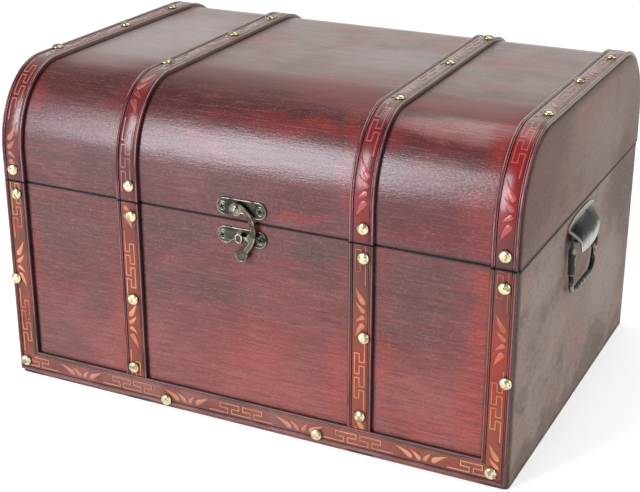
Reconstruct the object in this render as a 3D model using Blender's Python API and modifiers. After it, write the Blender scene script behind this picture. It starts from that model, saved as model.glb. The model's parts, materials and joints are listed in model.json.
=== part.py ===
# Wooden treasure chest with a shouldered lid, embossed straps, domed nails,
# a swing-hook latch, two back hinges and a drop handle on each end.
# Metres, +Z up, front at -Y. The origin is the middle of the base, on the floor.
import bpy
import bmesh
from math import atan2, cos, pi, radians, sin, sqrt
from mathutils import Matrix, Vector

# Box
LENGTH = 0.450
DEPTH = 0.331
BODY_HEIGHT = 0.180
PANEL = 0.009
BOTTOM_THICKNESS = 0.006
FIT = 0.0003
EDGE_EASE = 0.0009
CORNER_ROUND = 0.004

# Lid
LID_WALL = 0.025
SHOULDER_DEPTH = 0.055
REAR_SHOULDER_DEPTH = 0.062
SHOULDER_RISE = 0.0665
SKIN = 0.005
LID_EDGE_ROUND = 0.0015
SHOULDER_STEPS = 12

# Straps: plain moulding sections, the relief is finish
STRAP_WIDTH = 0.020
STRAP_HEIGHT = 0.0032
FIELD_WIDTH = 0.0128
FIELD_HEIGHT = 0.0025
GROOVE_WIDTH = 0.0007
GROOVE_DEPTH = 0.0005
STRAP_INSET = 0.0015
MID_STRAP_SHARE = 0.4556
LID_STRAP_LEAN = 0.007
BASE_LIFT = 0.0038

# Nails
NAIL_RADIUS = 0.0049
NAIL_DOME = 0.0028
NAIL_RIM = 0.0004
SHANK_RADIUS = 0.0010
SHANK_LENGTH = 0.0064
NAIL_TIP = 0.0008
NAIL_STEPS = 12
# On each front strap from left to right, sideways from its middle and then:
# down from the body's rim, above the middle of the body, up from the base
FRONT_NAILS = (
    ((0.0015, 0.0105), (-0.0062, 0.0015), (-0.0030, 0.0138)),
    ((0.0036, 0.0115), (0.0012, 0.0050), (-0.0016, 0.0320)),
    ((0.0024, 0.0105), (0.0036, 0.0140), (0.0010, 0.0360)),
    ((0.0016, 0.0135), (0.0062, 0.0015), (-0.0014, 0.0138)),
)
# Inwards from the middle straps, up from the base
BASE_NAILS = ((0.0291, 0.0085), (0.0364, 0.0105))
# On each lid strap: (sideways, from the front edge) twice, (sideways, past the
# middle), (sideways, from the rear edge)
LID_NAILS = (
    ((-0.0005, 0.0100), (-0.0045, 0.1410), (0.0030, 0.0050), (0.0030, 0.1450)),
    ((0.0027, 0.0138), (-0.0040, 0.1390), (0.0010, 0.0165), (0.0005, 0.1415)),
    ((0.0018, 0.0125), (0.0030, 0.1280), (0.0025, 0.0100), (0.0050, 0.1290)),
    ((0.0008, 0.0106), (0.0035, 0.1375), (-0.0007, 0.0025), (0.0020, 0.1455)),
)

# Latch
LATCH_SIDE = 0.0008
PLATE_THICKNESS = 0.0015
PLATE_SPAN = 0.0290
LOBE_RADIUS = 0.0071
PLATE_WAIST = 0.0102
WAIST_FILLET = 0.0040
LATCH_PLATE_RISE = 0.0104
KEEPER_DROP = 0.0129
SCREW_SPACING = 0.0330
SCREW_RADIUS = 0.0029
SCREW_HEAD = 0.0007
STUD_RADIUS = 0.0021
STUD_OFFSET = 0.0030
BOSS_RADIUS = 0.0042
BOSS_HEIGHT = 0.0012
RIVET_RADIUS = 0.0036
RIVET_HEIGHT = 0.0017
STUD_CLEARANCE = 0.0003
HOOK_THICKNESS = 0.0024
HOOK_EYE = 0.0053
HOOK_SWEEP = 0.0222
HOOK_WIDTH = 0.0043
HOOK_TAB_WIDTH = 0.0092
HOOK_TAB_LENGTH = 0.0085
STAPLE_OFFSET = -0.0009
STAPLE_WIDTH = 0.0064
STAPLE_LEG = 0.0017
STAPLE_OPENING = 0.0052
STAPLE_BRIDGE = 0.0015
FINGER_HEIGHT = 0.0030
FINGER_BITE = 0.0007
STAPLE_PLAY = 0.0003

# Hinges
HINGE_INSET = 0.070
HINGE_WIDTH = 0.038
LEAF_HEIGHT = 0.021
LEAF_THICKNESS = 0.0014
KNUCKLE_RADIUS = 0.0029
KNUCKLE_STAND = 0.0002
KNUCKLE_LIP = 0.0002
TAB_RELIEF = 0.0003
PIN_RADIUS = 0.0012
PIN_CLEARANCE = 0.0003
PIN_HEAD = 0.0010

# Handles
HANDLE_SIDE = -0.014
HANDLE_TOP_DROP = 0.0034
HOOD_HEIGHT = 0.0290
HOOD_TOP_WIDTH = 0.070
HOOD_LOW_WIDTH = 0.041
HOOD_THICKNESS = 0.0014
HOOD_BULGE = 0.0108
HOOD_CORNER_DROP = 0.006
FLANGE_HEIGHT = 0.0045
BACK_PLATE = 0.0012
AXLE_DROP = 0.0180
AXLE_REACH = 0.0046
EAR_SPACING = 0.0400
EAR_THICKNESS = 0.0030
EAR_RADIUS = 0.0036
STUB_RADIUS = 0.0015
STUB_CLEARANCE = 0.0003
BAIL_WIDTH = 0.070
BAIL_DROP = 0.0445
BAIL_LOW_WIDTH = 0.063
BAIL_CORNER = 0.010
BAIL_RADIUS = 0.0021
GRIP_RADIUS = 0.0030
GRIP_LENGTH = 0.021

WOOD_FRONT = ("cherry_wood", (0.115, 0.022, 0.020), 0.38, 0.0)
WOOD_SIDE = ("brown_wood", (0.135, 0.090, 0.075), 0.42, 0.0)
STRAP_STUFF = ("embossed_strap", (0.150, 0.035, 0.022), 0.45, 0.0)
BRASS = ("brass_nail", (0.620, 0.480, 0.220), 0.22, 1.0)
BRONZE = ("antique_bronze", (0.140, 0.125, 0.100), 0.32, 1.0)

HALF_LENGTH = LENGTH / 2
HALF_DEPTH = DEPTH / 2
SEAM_TOP = BODY_HEIGHT + FIT
HINGE_Y = HALF_DEPTH + FIT + KNUCKLE_STAND + KNUCKLE_RADIUS
HINGE_Z = BODY_HEIGHT + FIT / 2


def clear_scene():
    for old in list(bpy.data.objects):
        bpy.data.objects.remove(old, do_unlink=True)


def new_collection(name):
    group = bpy.data.collections.new(name)
    bpy.context.scene.collection.children.link(group)
    return group


clear_scene()
PARTS = new_collection("treasure_chest")
CUTTERS = new_collection("cutters")


def material(stuff):
    name, colour, roughness, metallic = stuff
    found = bpy.data.materials.get(name)
    if found:
        return found
    made = bpy.data.materials.new(name)
    made.use_nodes = True
    shader = made.node_tree.nodes["Principled BSDF"]
    shader.inputs["Base Color"].default_value = (*colour, 1.0)
    shader.inputs["Roughness"].default_value = roughness
    shader.inputs["Metallic"].default_value = metallic
    return made


def world_place(thing):
    """Where an unturned empty stands, its parents' places added up."""
    place = Vector()
    while thing:
        place += thing.location
        thing = thing.parent
    return place


def empty(name, place, parent=None):
    made = bpy.data.objects.new(name, None)
    made.empty_display_size = 0.02
    PARTS.objects.link(made)
    made.location = place - world_place(parent)
    made.parent = parent
    return made


BODY = empty("body_frame", Vector())
LID = empty("lid_axis", Vector((0, HINGE_Y, HINGE_Z)))


def place_mesh(name, mesh, stuff, parent, origin):
    mesh.transform(Matrix.Translation(-origin))
    mesh.materials.append(material(stuff))
    made = bpy.data.objects.new(name, mesh)
    PARTS.objects.link(made)
    made.parent = parent
    made.location = origin - world_place(parent)
    return made


def finish(name, bm, stuff, parent, origin=None, smooth=None):
    bmesh.ops.recalc_face_normals(bm, faces=bm.faces)
    mesh = bpy.data.meshes.new(name)
    bm.to_mesh(mesh)
    bm.free()
    if smooth:
        mesh.shade_smooth()
        mesh.set_sharp_from_angle(angle=radians(smooth))
    return place_mesh(name, mesh, stuff, parent, origin or Vector())


def new_box(low, high):
    bm = bmesh.new()
    add_box(bm, low, high)
    return bm


def add_box(bm, low, high):
    low, high = Vector(low), Vector(high)
    size = high - low
    matrix = Matrix.Translation((low + high) / 2) @ Matrix.Diagonal((*size, 1.0))
    bmesh.ops.create_cube(bm, size=1.0, matrix=matrix)


def add_cylinder(bm, start, end, radius, sides, end_radius=None):
    start, end = Vector(start), Vector(end)
    axis = end - start
    turn = axis.to_track_quat("Z", "Y").to_matrix().to_4x4()
    bmesh.ops.create_cone(
        bm, cap_ends=True, segments=sides, radius1=radius,
        radius2=radius if end_radius is None else end_radius, depth=axis.length,
        matrix=Matrix.Translation((start + end) / 2) @ turn)


def bevel_where(bm, test, width, segments):
    edges = [e for e in bm.edges if test(e.verts[0].co, e.verts[1].co)]
    bmesh.ops.bevel(bm, geom=edges, offset=width, segments=segments,
                    profile=0.5, affect="EDGES", clamp_overlap=True)


def near(a, b):
    return abs(a - b) < 1e-6


def cutter(name, bm):
    bmesh.ops.recalc_face_normals(bm, faces=bm.faces)
    mesh = bpy.data.meshes.new(name)
    bm.to_mesh(mesh)
    bm.free()
    made = bpy.data.objects.new(name, mesh)
    CUTTERS.objects.link(made)
    made.hide_render = True
    made.display_type = "WIRE"
    return made


def boolean(target, tool, operation):
    modifier = target.modifiers.new(tool.name, "BOOLEAN")
    modifier.operation = operation
    modifier.solver = "EXACT"
    modifier.object = tool


def outline_mesh(loops, thickness, to_world):
    """A flat outline with its holes as a solid, centred on its own plane."""
    curve = bpy.data.curves.new("outline", "CURVE")
    curve.dimensions = "2D"
    curve.fill_mode = "BOTH"
    curve.extrude = thickness / 2
    for loop in loops:
        spline = curve.splines.new("POLY")
        spline.points.add(len(loop) - 1)
        for point, (a, b) in zip(spline.points, loop):
            point.co = (a, b, 0.0, 1.0)
        spline.use_cyclic_u = True
    holder = bpy.data.objects.new("outline", curve)
    PARTS.objects.link(holder)
    bpy.context.view_layer.update()
    evaluated = holder.evaluated_get(bpy.context.evaluated_depsgraph_get())
    mesh = bpy.data.meshes.new_from_object(evaluated)
    bpy.data.objects.remove(holder, do_unlink=True)
    bm = bmesh.new()
    bm.from_mesh(mesh)
    bpy.data.meshes.remove(mesh)
    bmesh.ops.remove_doubles(bm, verts=bm.verts, dist=1e-6)
    bmesh.ops.transform(bm, matrix=to_world, verts=bm.verts)
    return bm


def turned_mesh(profile, steps, to_world):
    """A profile of (radius, height), top to bottom, turned round its height."""
    mesh = bpy.data.meshes.new("turned")
    edges = [(i, i + 1) for i in range(len(profile) - 1)]
    mesh.from_pydata([(r, 0, z) for r, z in profile], edges, [])
    holder = bpy.data.objects.new("turned", mesh)
    PARTS.objects.link(holder)
    turn = holder.modifiers.new("turned", "SCREW")
    turn.steps = steps
    turn.render_steps = steps
    turn.use_merge_vertices = True
    turn.merge_threshold = 0.00001
    bpy.context.view_layer.update()
    evaluated = holder.evaluated_get(bpy.context.evaluated_depsgraph_get())
    made = bpy.data.meshes.new_from_object(evaluated)
    bpy.data.objects.remove(holder, do_unlink=True)
    bm = bmesh.new()
    bm.from_mesh(made)
    bpy.data.meshes.remove(made)
    bmesh.ops.remove_doubles(bm, verts=bm.verts, dist=1e-6)
    bmesh.ops.transform(bm, matrix=to_world, verts=bm.verts)
    return bm


# Outline planes: (a, b) of a drawing to the world
ACROSS_FRONT = Matrix(((1, 0, 0, 0), (0, 0, -1, 0), (0, 1, 0, 0), (0, 0, 0, 1)))
ALONG_SIDE = Matrix(((0, 0, 1, 0), (1, 0, 0, 0), (0, 1, 0, 0), (0, 0, 0, 1)))


def arc(centre, radius_a, radius_b, start, end, steps):
    points = []
    for i in range(steps + 1):
        t = start + (end - start) * i / steps
        points.append((centre[0] + radius_a * cos(t), centre[1] + radius_b * sin(t)))
    return points


# Body panels
def end_panel(name, side):
    outer = side * HALF_LENGTH
    inner = side * (HALF_LENGTH - PANEL)
    bm = new_box((min(outer, inner), -HALF_DEPTH, 0),
                 (max(outer, inner), HALF_DEPTH, BODY_HEIGHT))
    bevel_where(bm, lambda a, b: near(a.x, outer) and near(b.x, outer)
                and not near(a.z, b.z), CORNER_ROUND, 3)
    bevel_where(bm, lambda a, b: near(a.z, BODY_HEIGHT) and near(b.z, BODY_HEIGHT)
                and not (near(a.x, inner) and near(b.x, inner)), EDGE_EASE, 1)
    return finish(name, bm, WOOD_SIDE, BODY, smooth=40)


def long_panel(name, side):
    reach = HALF_LENGTH - PANEL - FIT
    outer = side * HALF_DEPTH
    inner = side * (HALF_DEPTH - PANEL)
    bm = new_box((-reach, min(outer, inner), 0), (reach, max(outer, inner), BODY_HEIGHT))
    bevel_where(bm, lambda a, b: near(a.z, BODY_HEIGHT) and near(b.z, BODY_HEIGHT)
                and near(a.y, outer) and near(b.y, outer), EDGE_EASE, 1)
    return finish(name, bm, WOOD_FRONT, BODY)


def bottom_panel():
    reach_x = HALF_LENGTH - PANEL - FIT
    reach_y = HALF_DEPTH - PANEL - FIT
    bm = new_box((-reach_x, -reach_y, 0), (reach_x, reach_y, BOTTOM_THICKNESS))
    return finish("bottom_panel", bm, WOOD_SIDE, BODY)


# Lid: one profile from the front edge over the shoulders to the rear edge
def lid_profile(inset=0.0):
    wall_top = SEAM_TOP + LID_WALL
    rise = SHOULDER_RISE - inset
    front = arc((-HALF_DEPTH + SHOULDER_DEPTH, wall_top), SHOULDER_DEPTH - inset, rise,
                pi, pi / 2, SHOULDER_STEPS)
    rear = arc((HALF_DEPTH - REAR_SHOULDER_DEPTH, wall_top), REAR_SHOULDER_DEPTH - inset, rise,
               pi / 2, 0, SHOULDER_STEPS)
    return ([(-HALF_DEPTH + inset, SEAM_TOP)] + front + rear
            + [(HALF_DEPTH - inset, SEAM_TOP)])


def eased(profile, width):
    """The profile with its two lowest outer corners eased."""
    (y, z) = profile[0]
    return [(y + width, z), (y, z + width)] + profile[1:-1] + [(-y, z + width), (-y - width, z)]


def lid_skin():
    outer = eased(lid_profile(), EDGE_EASE)
    inner = lid_profile(SKIN)
    bm = outline_mesh([outer + inner[::-1]], LENGTH - 2 * PANEL - 2 * FIT, ALONG_SIDE)
    return finish("lid_skin", bm, WOOD_FRONT, LID, smooth=40)


def lid_end(name, side):
    bm = outline_mesh([eased(lid_profile(), EDGE_EASE)], PANEL, ALONG_SIDE)
    middle = side * (HALF_LENGTH - PANEL / 2)
    bmesh.ops.translate(bm, verts=bm.verts, vec=(middle, 0, 0))
    outer = side * HALF_LENGTH
    bevel_where(bm, lambda a, b: near(a.x, outer) and near(b.x, outer)
                and is_rim(a, b), LID_EDGE_ROUND, 2)
    return finish(name, bm, WOOD_SIDE, LID, smooth=40)


def is_rim(a, b):
    rim = eased(lid_profile(), EDGE_EASE)
    on_rim = [any(near(p.y, y) and near(p.z, z) for y, z in rim) for p in (a, b)]
    if not all(on_rim):
        return False
    index = [next(i for i, (y, z) in enumerate(rim) if near(p.y, y) and near(p.z, z))
             for p in (a, b)]
    gap = abs(index[0] - index[1])
    return gap == 1 or gap == len(rim) - 1


# Straps
def strap_section():
    """Across the strap and out from the wood, from one foot to the other."""
    edge = STRAP_WIDTH / 2
    field = FIELD_WIDTH / 2
    border = edge - field
    half = [
        (edge, FIT),
        (edge, FIT + STRAP_HEIGHT * 0.60),
        (edge - border * 0.22, FIT + STRAP_HEIGHT * 0.92),
        (edge - border * 0.45, FIT + STRAP_HEIGHT),
        (edge - border * 0.72, FIT + STRAP_HEIGHT * 0.90),
        (field, FIT + FIELD_HEIGHT - GROOVE_DEPTH),
        (field - GROOVE_WIDTH, FIT + FIELD_HEIGHT),
    ]
    return half + [(-u, h) for u, h in reversed(half)]


def sweep(section, frames):
    """The section carried through the frames, each a map from (u, h) to the world."""
    bm = bmesh.new()
    face = bm.faces.new([bm.verts.new(frames[0](u, h)) for u, h in section])
    for earlier, frame in zip(frames, frames[1:]):
        here = {tuple(round(c, 9) for c in v.co): uv for v, uv in zip(face.verts, section)}
        grown = bmesh.ops.extrude_face_region(bm, geom=[face, *face.edges])["geom"]
        face = next(g for g in grown if isinstance(g, bmesh.types.BMFace))
        for v in face.verts:
            u, h = here[tuple(round(c, 9) for c in v.co)]
            v.co = frame(u, h)
        order = {tuple(round(c, 9) for c in frame(u, h)): (u, h) for u, h in section}
        section = [order[tuple(round(c, 9) for c in v.co)] for v in face.verts]
    return bm


FRONT_FOOT = -HALF_DEPTH
STRAP_TOP = BODY_HEIGHT - EDGE_EASE
BASE_TOP = BASE_LIFT + STRAP_WIDTH
EDGE_STRAP_X = HALF_LENGTH - STRAP_INSET - STRAP_WIDTH / 2
MID_STRAP_X = LENGTH * MID_STRAP_SHARE / 2
STRAP_PLACES = (-EDGE_STRAP_X, -MID_STRAP_X, MID_STRAP_X, EDGE_STRAP_X)
MITRE_GAP = FIT * sqrt(2)


def front_strap(name, x, corner):
    """Upright strap; at a corner its foot is mitred into the base strip."""
    def top(u, h):
        return Vector((x + u, FRONT_FOOT - h, STRAP_TOP))

    def foot(u, h):
        if corner:
            z = BASE_LIFT + MITRE_GAP + STRAP_WIDTH / 2 - corner * u
        else:
            z = BASE_TOP + FIT
        return Vector((x + u, FRONT_FOOT - h, z))

    return finish(name, sweep(strap_section(), [foot, top]), STRAP_STUFF, BODY, smooth=35)


def base_strip():
    middle = BASE_LIFT + STRAP_WIDTH / 2
    reach = HALF_LENGTH - STRAP_INSET - STRAP_WIDTH / 2

    def frame(side):
        def place(u, h):
            return Vector((side * (reach - u), FRONT_FOOT - h, middle + u))
        return place

    return finish("base_strip", sweep(strap_section(), [frame(-1), frame(1)]),
                  STRAP_STUFF, BODY, smooth=35)


def lean_at(x, y):
    """Sideways drift of the two middle lid straps towards the back."""
    if near(abs(x), EDGE_STRAP_X):
        return x
    return x - LID_STRAP_LEAN * (y + HALF_DEPTH) / DEPTH


def lid_strap(name, x):
    path = lid_profile()
    frames = []
    for i, (y, z) in enumerate(path):
        before = Vector(path[max(i - 1, 0)])
        here = Vector((y, z))
        after = Vector(path[min(i + 1, len(path) - 1)])
        first = (here - before).normalized() if i else (after - here).normalized()
        second = (after - here).normalized() if i < len(path) - 1 else first
        along = (first + second).normalized()
        stretch = 1.0 / along.dot(first)
        out = Vector((-along.y, along.x)) * stretch
        if i == 0 or i == len(path) - 1:
            here = Vector((y, z + EDGE_EASE))

        def place(u, h, here=here, out=out):
            point = here + out * h
            return Vector((lean_at(x, here.x) + u, point.x, point.y))

        frames.append(place)
    return finish(name, sweep(strap_section(), frames), STRAP_STUFF, LID, smooth=35)


def on_lid(distance, from_rear=False):
    """A point of the lid profile and the way out of it, so far along it."""
    path = [Vector(p) for p in lid_profile()]
    if from_rear:
        path = path[::-1]
    left = distance
    for a, b in zip(path, path[1:]):
        run = (b - a).length
        if left <= run:
            along = (b - a).normalized()
            out = Vector((-along.y, along.x))
            if from_rear:
                out = -out
            return a + along * left, out
        left -= run
    return path[-1], Vector((0, 1))


def lid_arc():
    path = [Vector(p) for p in lid_profile()]
    return sum((b - a).length for a, b in zip(path, path[1:]))


# Nails
def nail_profile():
    """From the top of the dome down the outer side to the point."""
    dome = []
    for i in range(4):
        t = pi / 2 * i / 3
        dome.append((NAIL_RADIUS * sin(t), NAIL_RIM + (NAIL_DOME - NAIL_RIM) * cos(t)))
    return dome + [(NAIL_RADIUS * 0.96, 0), (SHANK_RADIUS, 0),
                   (SHANK_RADIUS, -SHANK_LENGTH + NAIL_TIP), (0, -SHANK_LENGTH)]


NAIL_MESH = bpy.data.meshes.new("nail")


def fill_nail_mesh():
    points = nail_profile()
    edges = [(i, i + 1) for i in range(len(points) - 1)]
    NAIL_MESH.from_pydata([(r, 0, z) for r, z in points], edges, [])
    NAIL_MESH.materials.append(material(BRASS))


fill_nail_mesh()


def nail_seat(aside):
    """A nail that reaches over the strap's raised border stands on it."""
    over = abs(aside) + NAIL_RADIUS + FIT > FIELD_WIDTH / 2 - GROOVE_WIDTH
    return FIT + (STRAP_HEIGHT if over else FIELD_HEIGHT) + FIT


def nail(name, foot, out, parent, aside):
    """A nail driven through a strap whose wood is at foot, out being its way out."""
    made = bpy.data.objects.new(name, NAIL_MESH)
    PARTS.objects.link(made)
    made.parent = parent
    made.location = foot + out * nail_seat(aside) - world_place(parent)
    made.rotation_euler = out.to_track_quat("Z", "X").to_euler()
    turn = made.modifiers.new("turned", "SCREW")
    turn.axis = "Z"
    turn.angle = 2 * pi
    turn.steps = NAIL_STEPS
    turn.render_steps = NAIL_STEPS
    turn.use_merge_vertices = True
    turn.merge_threshold = 0.00001
    turn.use_smooth_shade = True
    turn.use_normal_calculate = False
    return made


def drill(target, places, depth):
    """Nail holes through what lies over the wood and blind into the wood."""
    bm = bmesh.new()
    for foot, out in places:
        add_cylinder(bm, foot - out * depth, foot + out * (STRAP_HEIGHT + 0.003),
                     SHANK_RADIUS + FIT, 8)
    boolean(target, cutter(target.name + "_holes", bm), "DIFFERENCE")


NAIL_BITE = SHANK_LENGTH - nail_seat(0) + FIT


def behind(x, middle, ends):
    """The pieces that a nail at x is driven into: the long one, an end, or both."""
    reach = HALF_LENGTH - PANEL - FIT
    found = [middle] if abs(x) - SHANK_RADIUS - FIT < reach else []
    if abs(x) + SHANK_RADIUS + FIT > reach + FIT:
        found.append(ends[x > 0])
    return found


def build_nails(pieces):
    outward = Vector((0, -1, 0))
    holes = {}

    def drive(name, foot, out, parent, aside, through):
        nail(name, foot, out, parent, aside)
        for piece in through:
            holes.setdefault(piece, []).append((foot, out))

    for i, x in enumerate(STRAP_PLACES):
        (top, drop), (middle, above), (low, up) = FRONT_NAILS[i]
        spots = {"top": (top, BODY_HEIGHT - drop), "middle": (middle, BODY_HEIGHT / 2 + above),
                 "low": (low, up)}
        for place, (side, z) in spots.items():
            through = ["front_strap_%d" % (i + 1)]
            if z < BASE_TOP + NAIL_RADIUS and i in (0, 3):
                through.append("base_strip")
            through += behind(x + side, "front_panel", ("left_end_panel", "right_end_panel"))
            drive("nail_front_%d_%s" % (i + 1, place), Vector((x + side, FRONT_FOOT, z)),
                  outward, BODY, side, through)
    for i, (inward, z) in enumerate(BASE_NAILS):
        x = (-1, 1)[i] * (MID_STRAP_X - inward)
        drive("nail_base_%d" % (i + 1), Vector((x, FRONT_FOOT, z)), outward, BODY,
              z - BASE_LIFT - STRAP_WIDTH / 2, ["base_strip", "front_panel"])
    for i, x in enumerate(STRAP_PLACES):
        front, shoulder, past, rear = LID_NAILS[i]
        spots = {
            "front": (front[0], on_lid(front[1])),
            "shoulder": (shoulder[0], on_lid(shoulder[1])),
            "top": (past[0], on_lid(lid_arc() / 2 + past[1])),
            "rear": (rear[0], on_lid(rear[1], True)),
        }
        for place, (side, (point, out)) in spots.items():
            foot = Vector((lean_at(x, point.x) + side, point.x, point.y))
            through = ["lid_strap_%d" % (i + 1)]
            through += behind(foot.x, "lid_skin", ("lid_left_end", "lid_right_end"))
            drive("nail_lid_%d_%s" % (i + 1, place), foot, Vector((0, out.x, out.y)),
                  LID, side, through)
    for piece, places in holes.items():
        drill(pieces[piece], places, NAIL_BITE)


# Latch
LATCH_FOOT = -HALF_DEPTH - FIT
PLATE_FACE = LATCH_FOOT - PLATE_THICKNESS
LATCH_Z = SEAM_TOP + LATCH_PLATE_RISE
KEEPER_Z = BODY_HEIGHT - KEEPER_DROP
HOOK_BACK = PLATE_FACE - BOSS_HEIGHT - FIT
HOOK_FACE = HOOK_BACK - HOOK_THICKNESS
PIVOT = Vector((LATCH_SIDE - STUD_OFFSET, HOOK_BACK, LATCH_Z))
STAPLE_X = LATCH_SIDE + STAPLE_OFFSET
FINGER_BACK = PLATE_FACE - SCREW_HEAD - FIT
BRIDGE_BACK = HOOK_BACK - FINGER_BITE - STAPLE_PLAY
HOOK = empty("hook_axis", PIVOT, LID)


def lobed_outline():
    """Two round lobes under one straight top edge, drawn in at the waist below."""
    half = PLATE_SPAN / 2
    waist = LOBE_RADIUS - PLATE_WAIST
    reach = LOBE_RADIUS + WAIST_FILLET
    drop = waist - WAIST_FILLET
    along = sqrt(reach ** 2 - drop ** 2)
    meet = atan2(drop, -along)
    lobe = arc((half, 0), LOBE_RADIUS, LOBE_RADIUS, pi / 2, meet, 14)
    fillet = arc((half - along, drop), WAIST_FILLET, WAIST_FILLET, meet + pi, pi / 2, 3)
    right = lobe + fillet[1:]
    return right + [(-a, b) for a, b in reversed(right)]


def plate_mesh(centre_z):
    bm = outline_mesh([lobed_outline()], PLATE_THICKNESS, ACROSS_FRONT)
    middle = LATCH_FOOT - PLATE_THICKNESS / 2
    bmesh.ops.translate(bm, verts=bm.verts, vec=(LATCH_SIDE, middle, centre_z))
    return bm


def add_screw_heads(bm, spots, face, out):
    for spot in spots:
        foot = Vector(spot)
        foot.y = face
        add_cylinder(bm, foot - out * PLATE_THICKNESS / 2, foot + out * SCREW_HEAD,
                     SCREW_RADIUS, 12, SCREW_RADIUS * 0.85)


def plate_screws(centre_z):
    half = SCREW_SPACING / 2
    return [(LATCH_SIDE - half, 0, centre_z), (LATCH_SIDE + half, 0, centre_z)]


def latch_plate():
    """The lid's plate with the stud that the hook turns on, headed over in front."""
    made = finish("latch_plate", plate_mesh(LATCH_Z), BRONZE, LID, smooth=35)
    screws = bmesh.new()
    add_screw_heads(screws, plate_screws(LATCH_Z), PLATE_FACE, Vector((0, -1, 0)))
    boolean(made, cutter("latch_screws", screws), "UNION")
    rivet_foot = HOOK_FACE - FIT
    boss = rivet_foot - (HOOK_BACK + FIT)
    root = boss - BOSS_HEIGHT - PLATE_THICKNESS / 2
    profile = [(0, RIVET_HEIGHT), (RIVET_RADIUS * 0.5, RIVET_HEIGHT * 0.88),
               (RIVET_RADIUS * 0.85, RIVET_HEIGHT * 0.5), (RIVET_RADIUS, 0),
               (STUD_RADIUS, 0), (STUD_RADIUS, boss), (BOSS_RADIUS, boss),
               (BOSS_RADIUS, root), (0, root)]
    place = Vector((PIVOT.x, rivet_foot, PIVOT.z))
    stud = turned_mesh(profile, 16, Matrix.Translation(place) @ ACROSS_FRONT)
    boolean(made, cutter("latch_stud", stud), "UNION")


def hook_outline():
    """Round its eye, down the curved arm and round the finger tab, from the pivot."""
    inner = HOOK_SWEEP - HOOK_WIDTH / 2
    outer = HOOK_SWEEP + HOOK_WIDTH / 2
    centre = (-HOOK_SWEEP / 3, -HOOK_SWEEP * 0.765)
    points = arc(centre, outer, outer, radians(61), radians(-43), 13)
    heel = points[-1]
    low = heel[1] - HOOK_TAB_LENGTH
    left = heel[0] - HOOK_TAB_WIDTH
    points += [
        (left + HOOK_TAB_WIDTH * 0.62, low), (left + HOOK_TAB_WIDTH * 0.46, low - 0.0007),
        (left + HOOK_TAB_WIDTH * 0.24, low - 0.0007), (left, low + 0.0008),
        (left - HOOK_TAB_WIDTH * 0.33, heel[1] - 0.0033),
        (left - HOOK_TAB_WIDTH * 0.33, heel[1] - 0.0017),
        (left - HOOK_TAB_WIDTH * 0.20, heel[1] - 0.0013),
    ]
    points += arc(centre, inner, inner, radians(-54), radians(-25), 4)
    points += [(heel[0] - 0.0005, centre[1] - 0.0065), (heel[0] - 0.0013, centre[1] - 0.0049),
               (heel[0] - 0.0011, centre[1] - 0.0035), (heel[0] + 0.0006, centre[1] - 0.0015)]
    points += arc(centre, inner, inner, radians(3), radians(45), 6)
    return points + arc((0, 0), HOOK_EYE, HOOK_EYE, radians(-31), radians(-286), 16)


def swing_hook():
    """The hook hangs closed: its finger reaches left, under the keeper's bridge."""
    hole = arc((0, 0), STUD_RADIUS + STUD_CLEARANCE, STUD_RADIUS + STUD_CLEARANCE,
               0, 2 * pi * 15 / 16, 15)
    bm = outline_mesh([hook_outline(), hole], HOOK_THICKNESS, ACROSS_FRONT)
    bmesh.ops.translate(bm, verts=bm.verts,
                        vec=(PIVOT.x, HOOK_BACK - HOOK_THICKNESS / 2, PIVOT.z))
    made = finish("swing_hook", bm, BRONZE, HOOK, origin=PIVOT.copy(), smooth=35)
    arm_inside = PIVOT.x - HOOK_SWEEP / 3 + HOOK_SWEEP - HOOK_WIDTH / 2
    finger = new_box(
        (STAPLE_X - STAPLE_WIDTH * 0.35, HOOK_BACK - FINGER_BITE, KEEPER_Z - FINGER_HEIGHT / 2),
        (arm_inside, FINGER_BACK, KEEPER_Z + FINGER_HEIGHT / 2))
    boolean(made, cutter("hook_finger", finger), "UNION")


def keeper_plate():
    """The body's plate with a bent staple: two legs and the bridge that holds the finger."""
    made = finish("keeper_plate", plate_mesh(KEEPER_Z), BRONZE, BODY, smooth=35)
    screws = bmesh.new()
    add_screw_heads(screws, plate_screws(KEEPER_Z), PLATE_FACE, Vector((0, -1, 0)))
    boolean(made, cutter("keeper_screws", screws), "UNION")
    root = PLATE_FACE + PLATE_THICKNESS / 2
    low, high = KEEPER_Z - STAPLE_OPENING / 2, KEEPER_Z + STAPLE_OPENING / 2
    front = BRIDGE_BACK - STAPLE_BRIDGE
    outline = [(root, low - STAPLE_LEG), (front, low - STAPLE_LEG), (front, high + STAPLE_LEG),
               (root, high + STAPLE_LEG), (root, high), (BRIDGE_BACK, high),
               (BRIDGE_BACK, low), (root, low)]
    bm = outline_mesh([outline], STAPLE_WIDTH, ALONG_SIDE)
    bmesh.ops.translate(bm, verts=bm.verts, vec=(STAPLE_X, 0, 0))
    bevel_where(bm, lambda a, b: near(a.y, front) and near(b.y, front), STAPLE_BRIDGE * 0.5, 2)
    boolean(made, cutter("keeper_staple", bm), "UNION")


# Hinges
HINGE_PLACES = (-HALF_LENGTH + HINGE_INSET, HALF_LENGTH - HINGE_INSET)
LEAF_FOOT = HALF_DEPTH + FIT
KNUCKLE = HINGE_WIDTH / 3
KNUCKLE_ROOM = KNUCKLE_RADIUS + FIT


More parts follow.
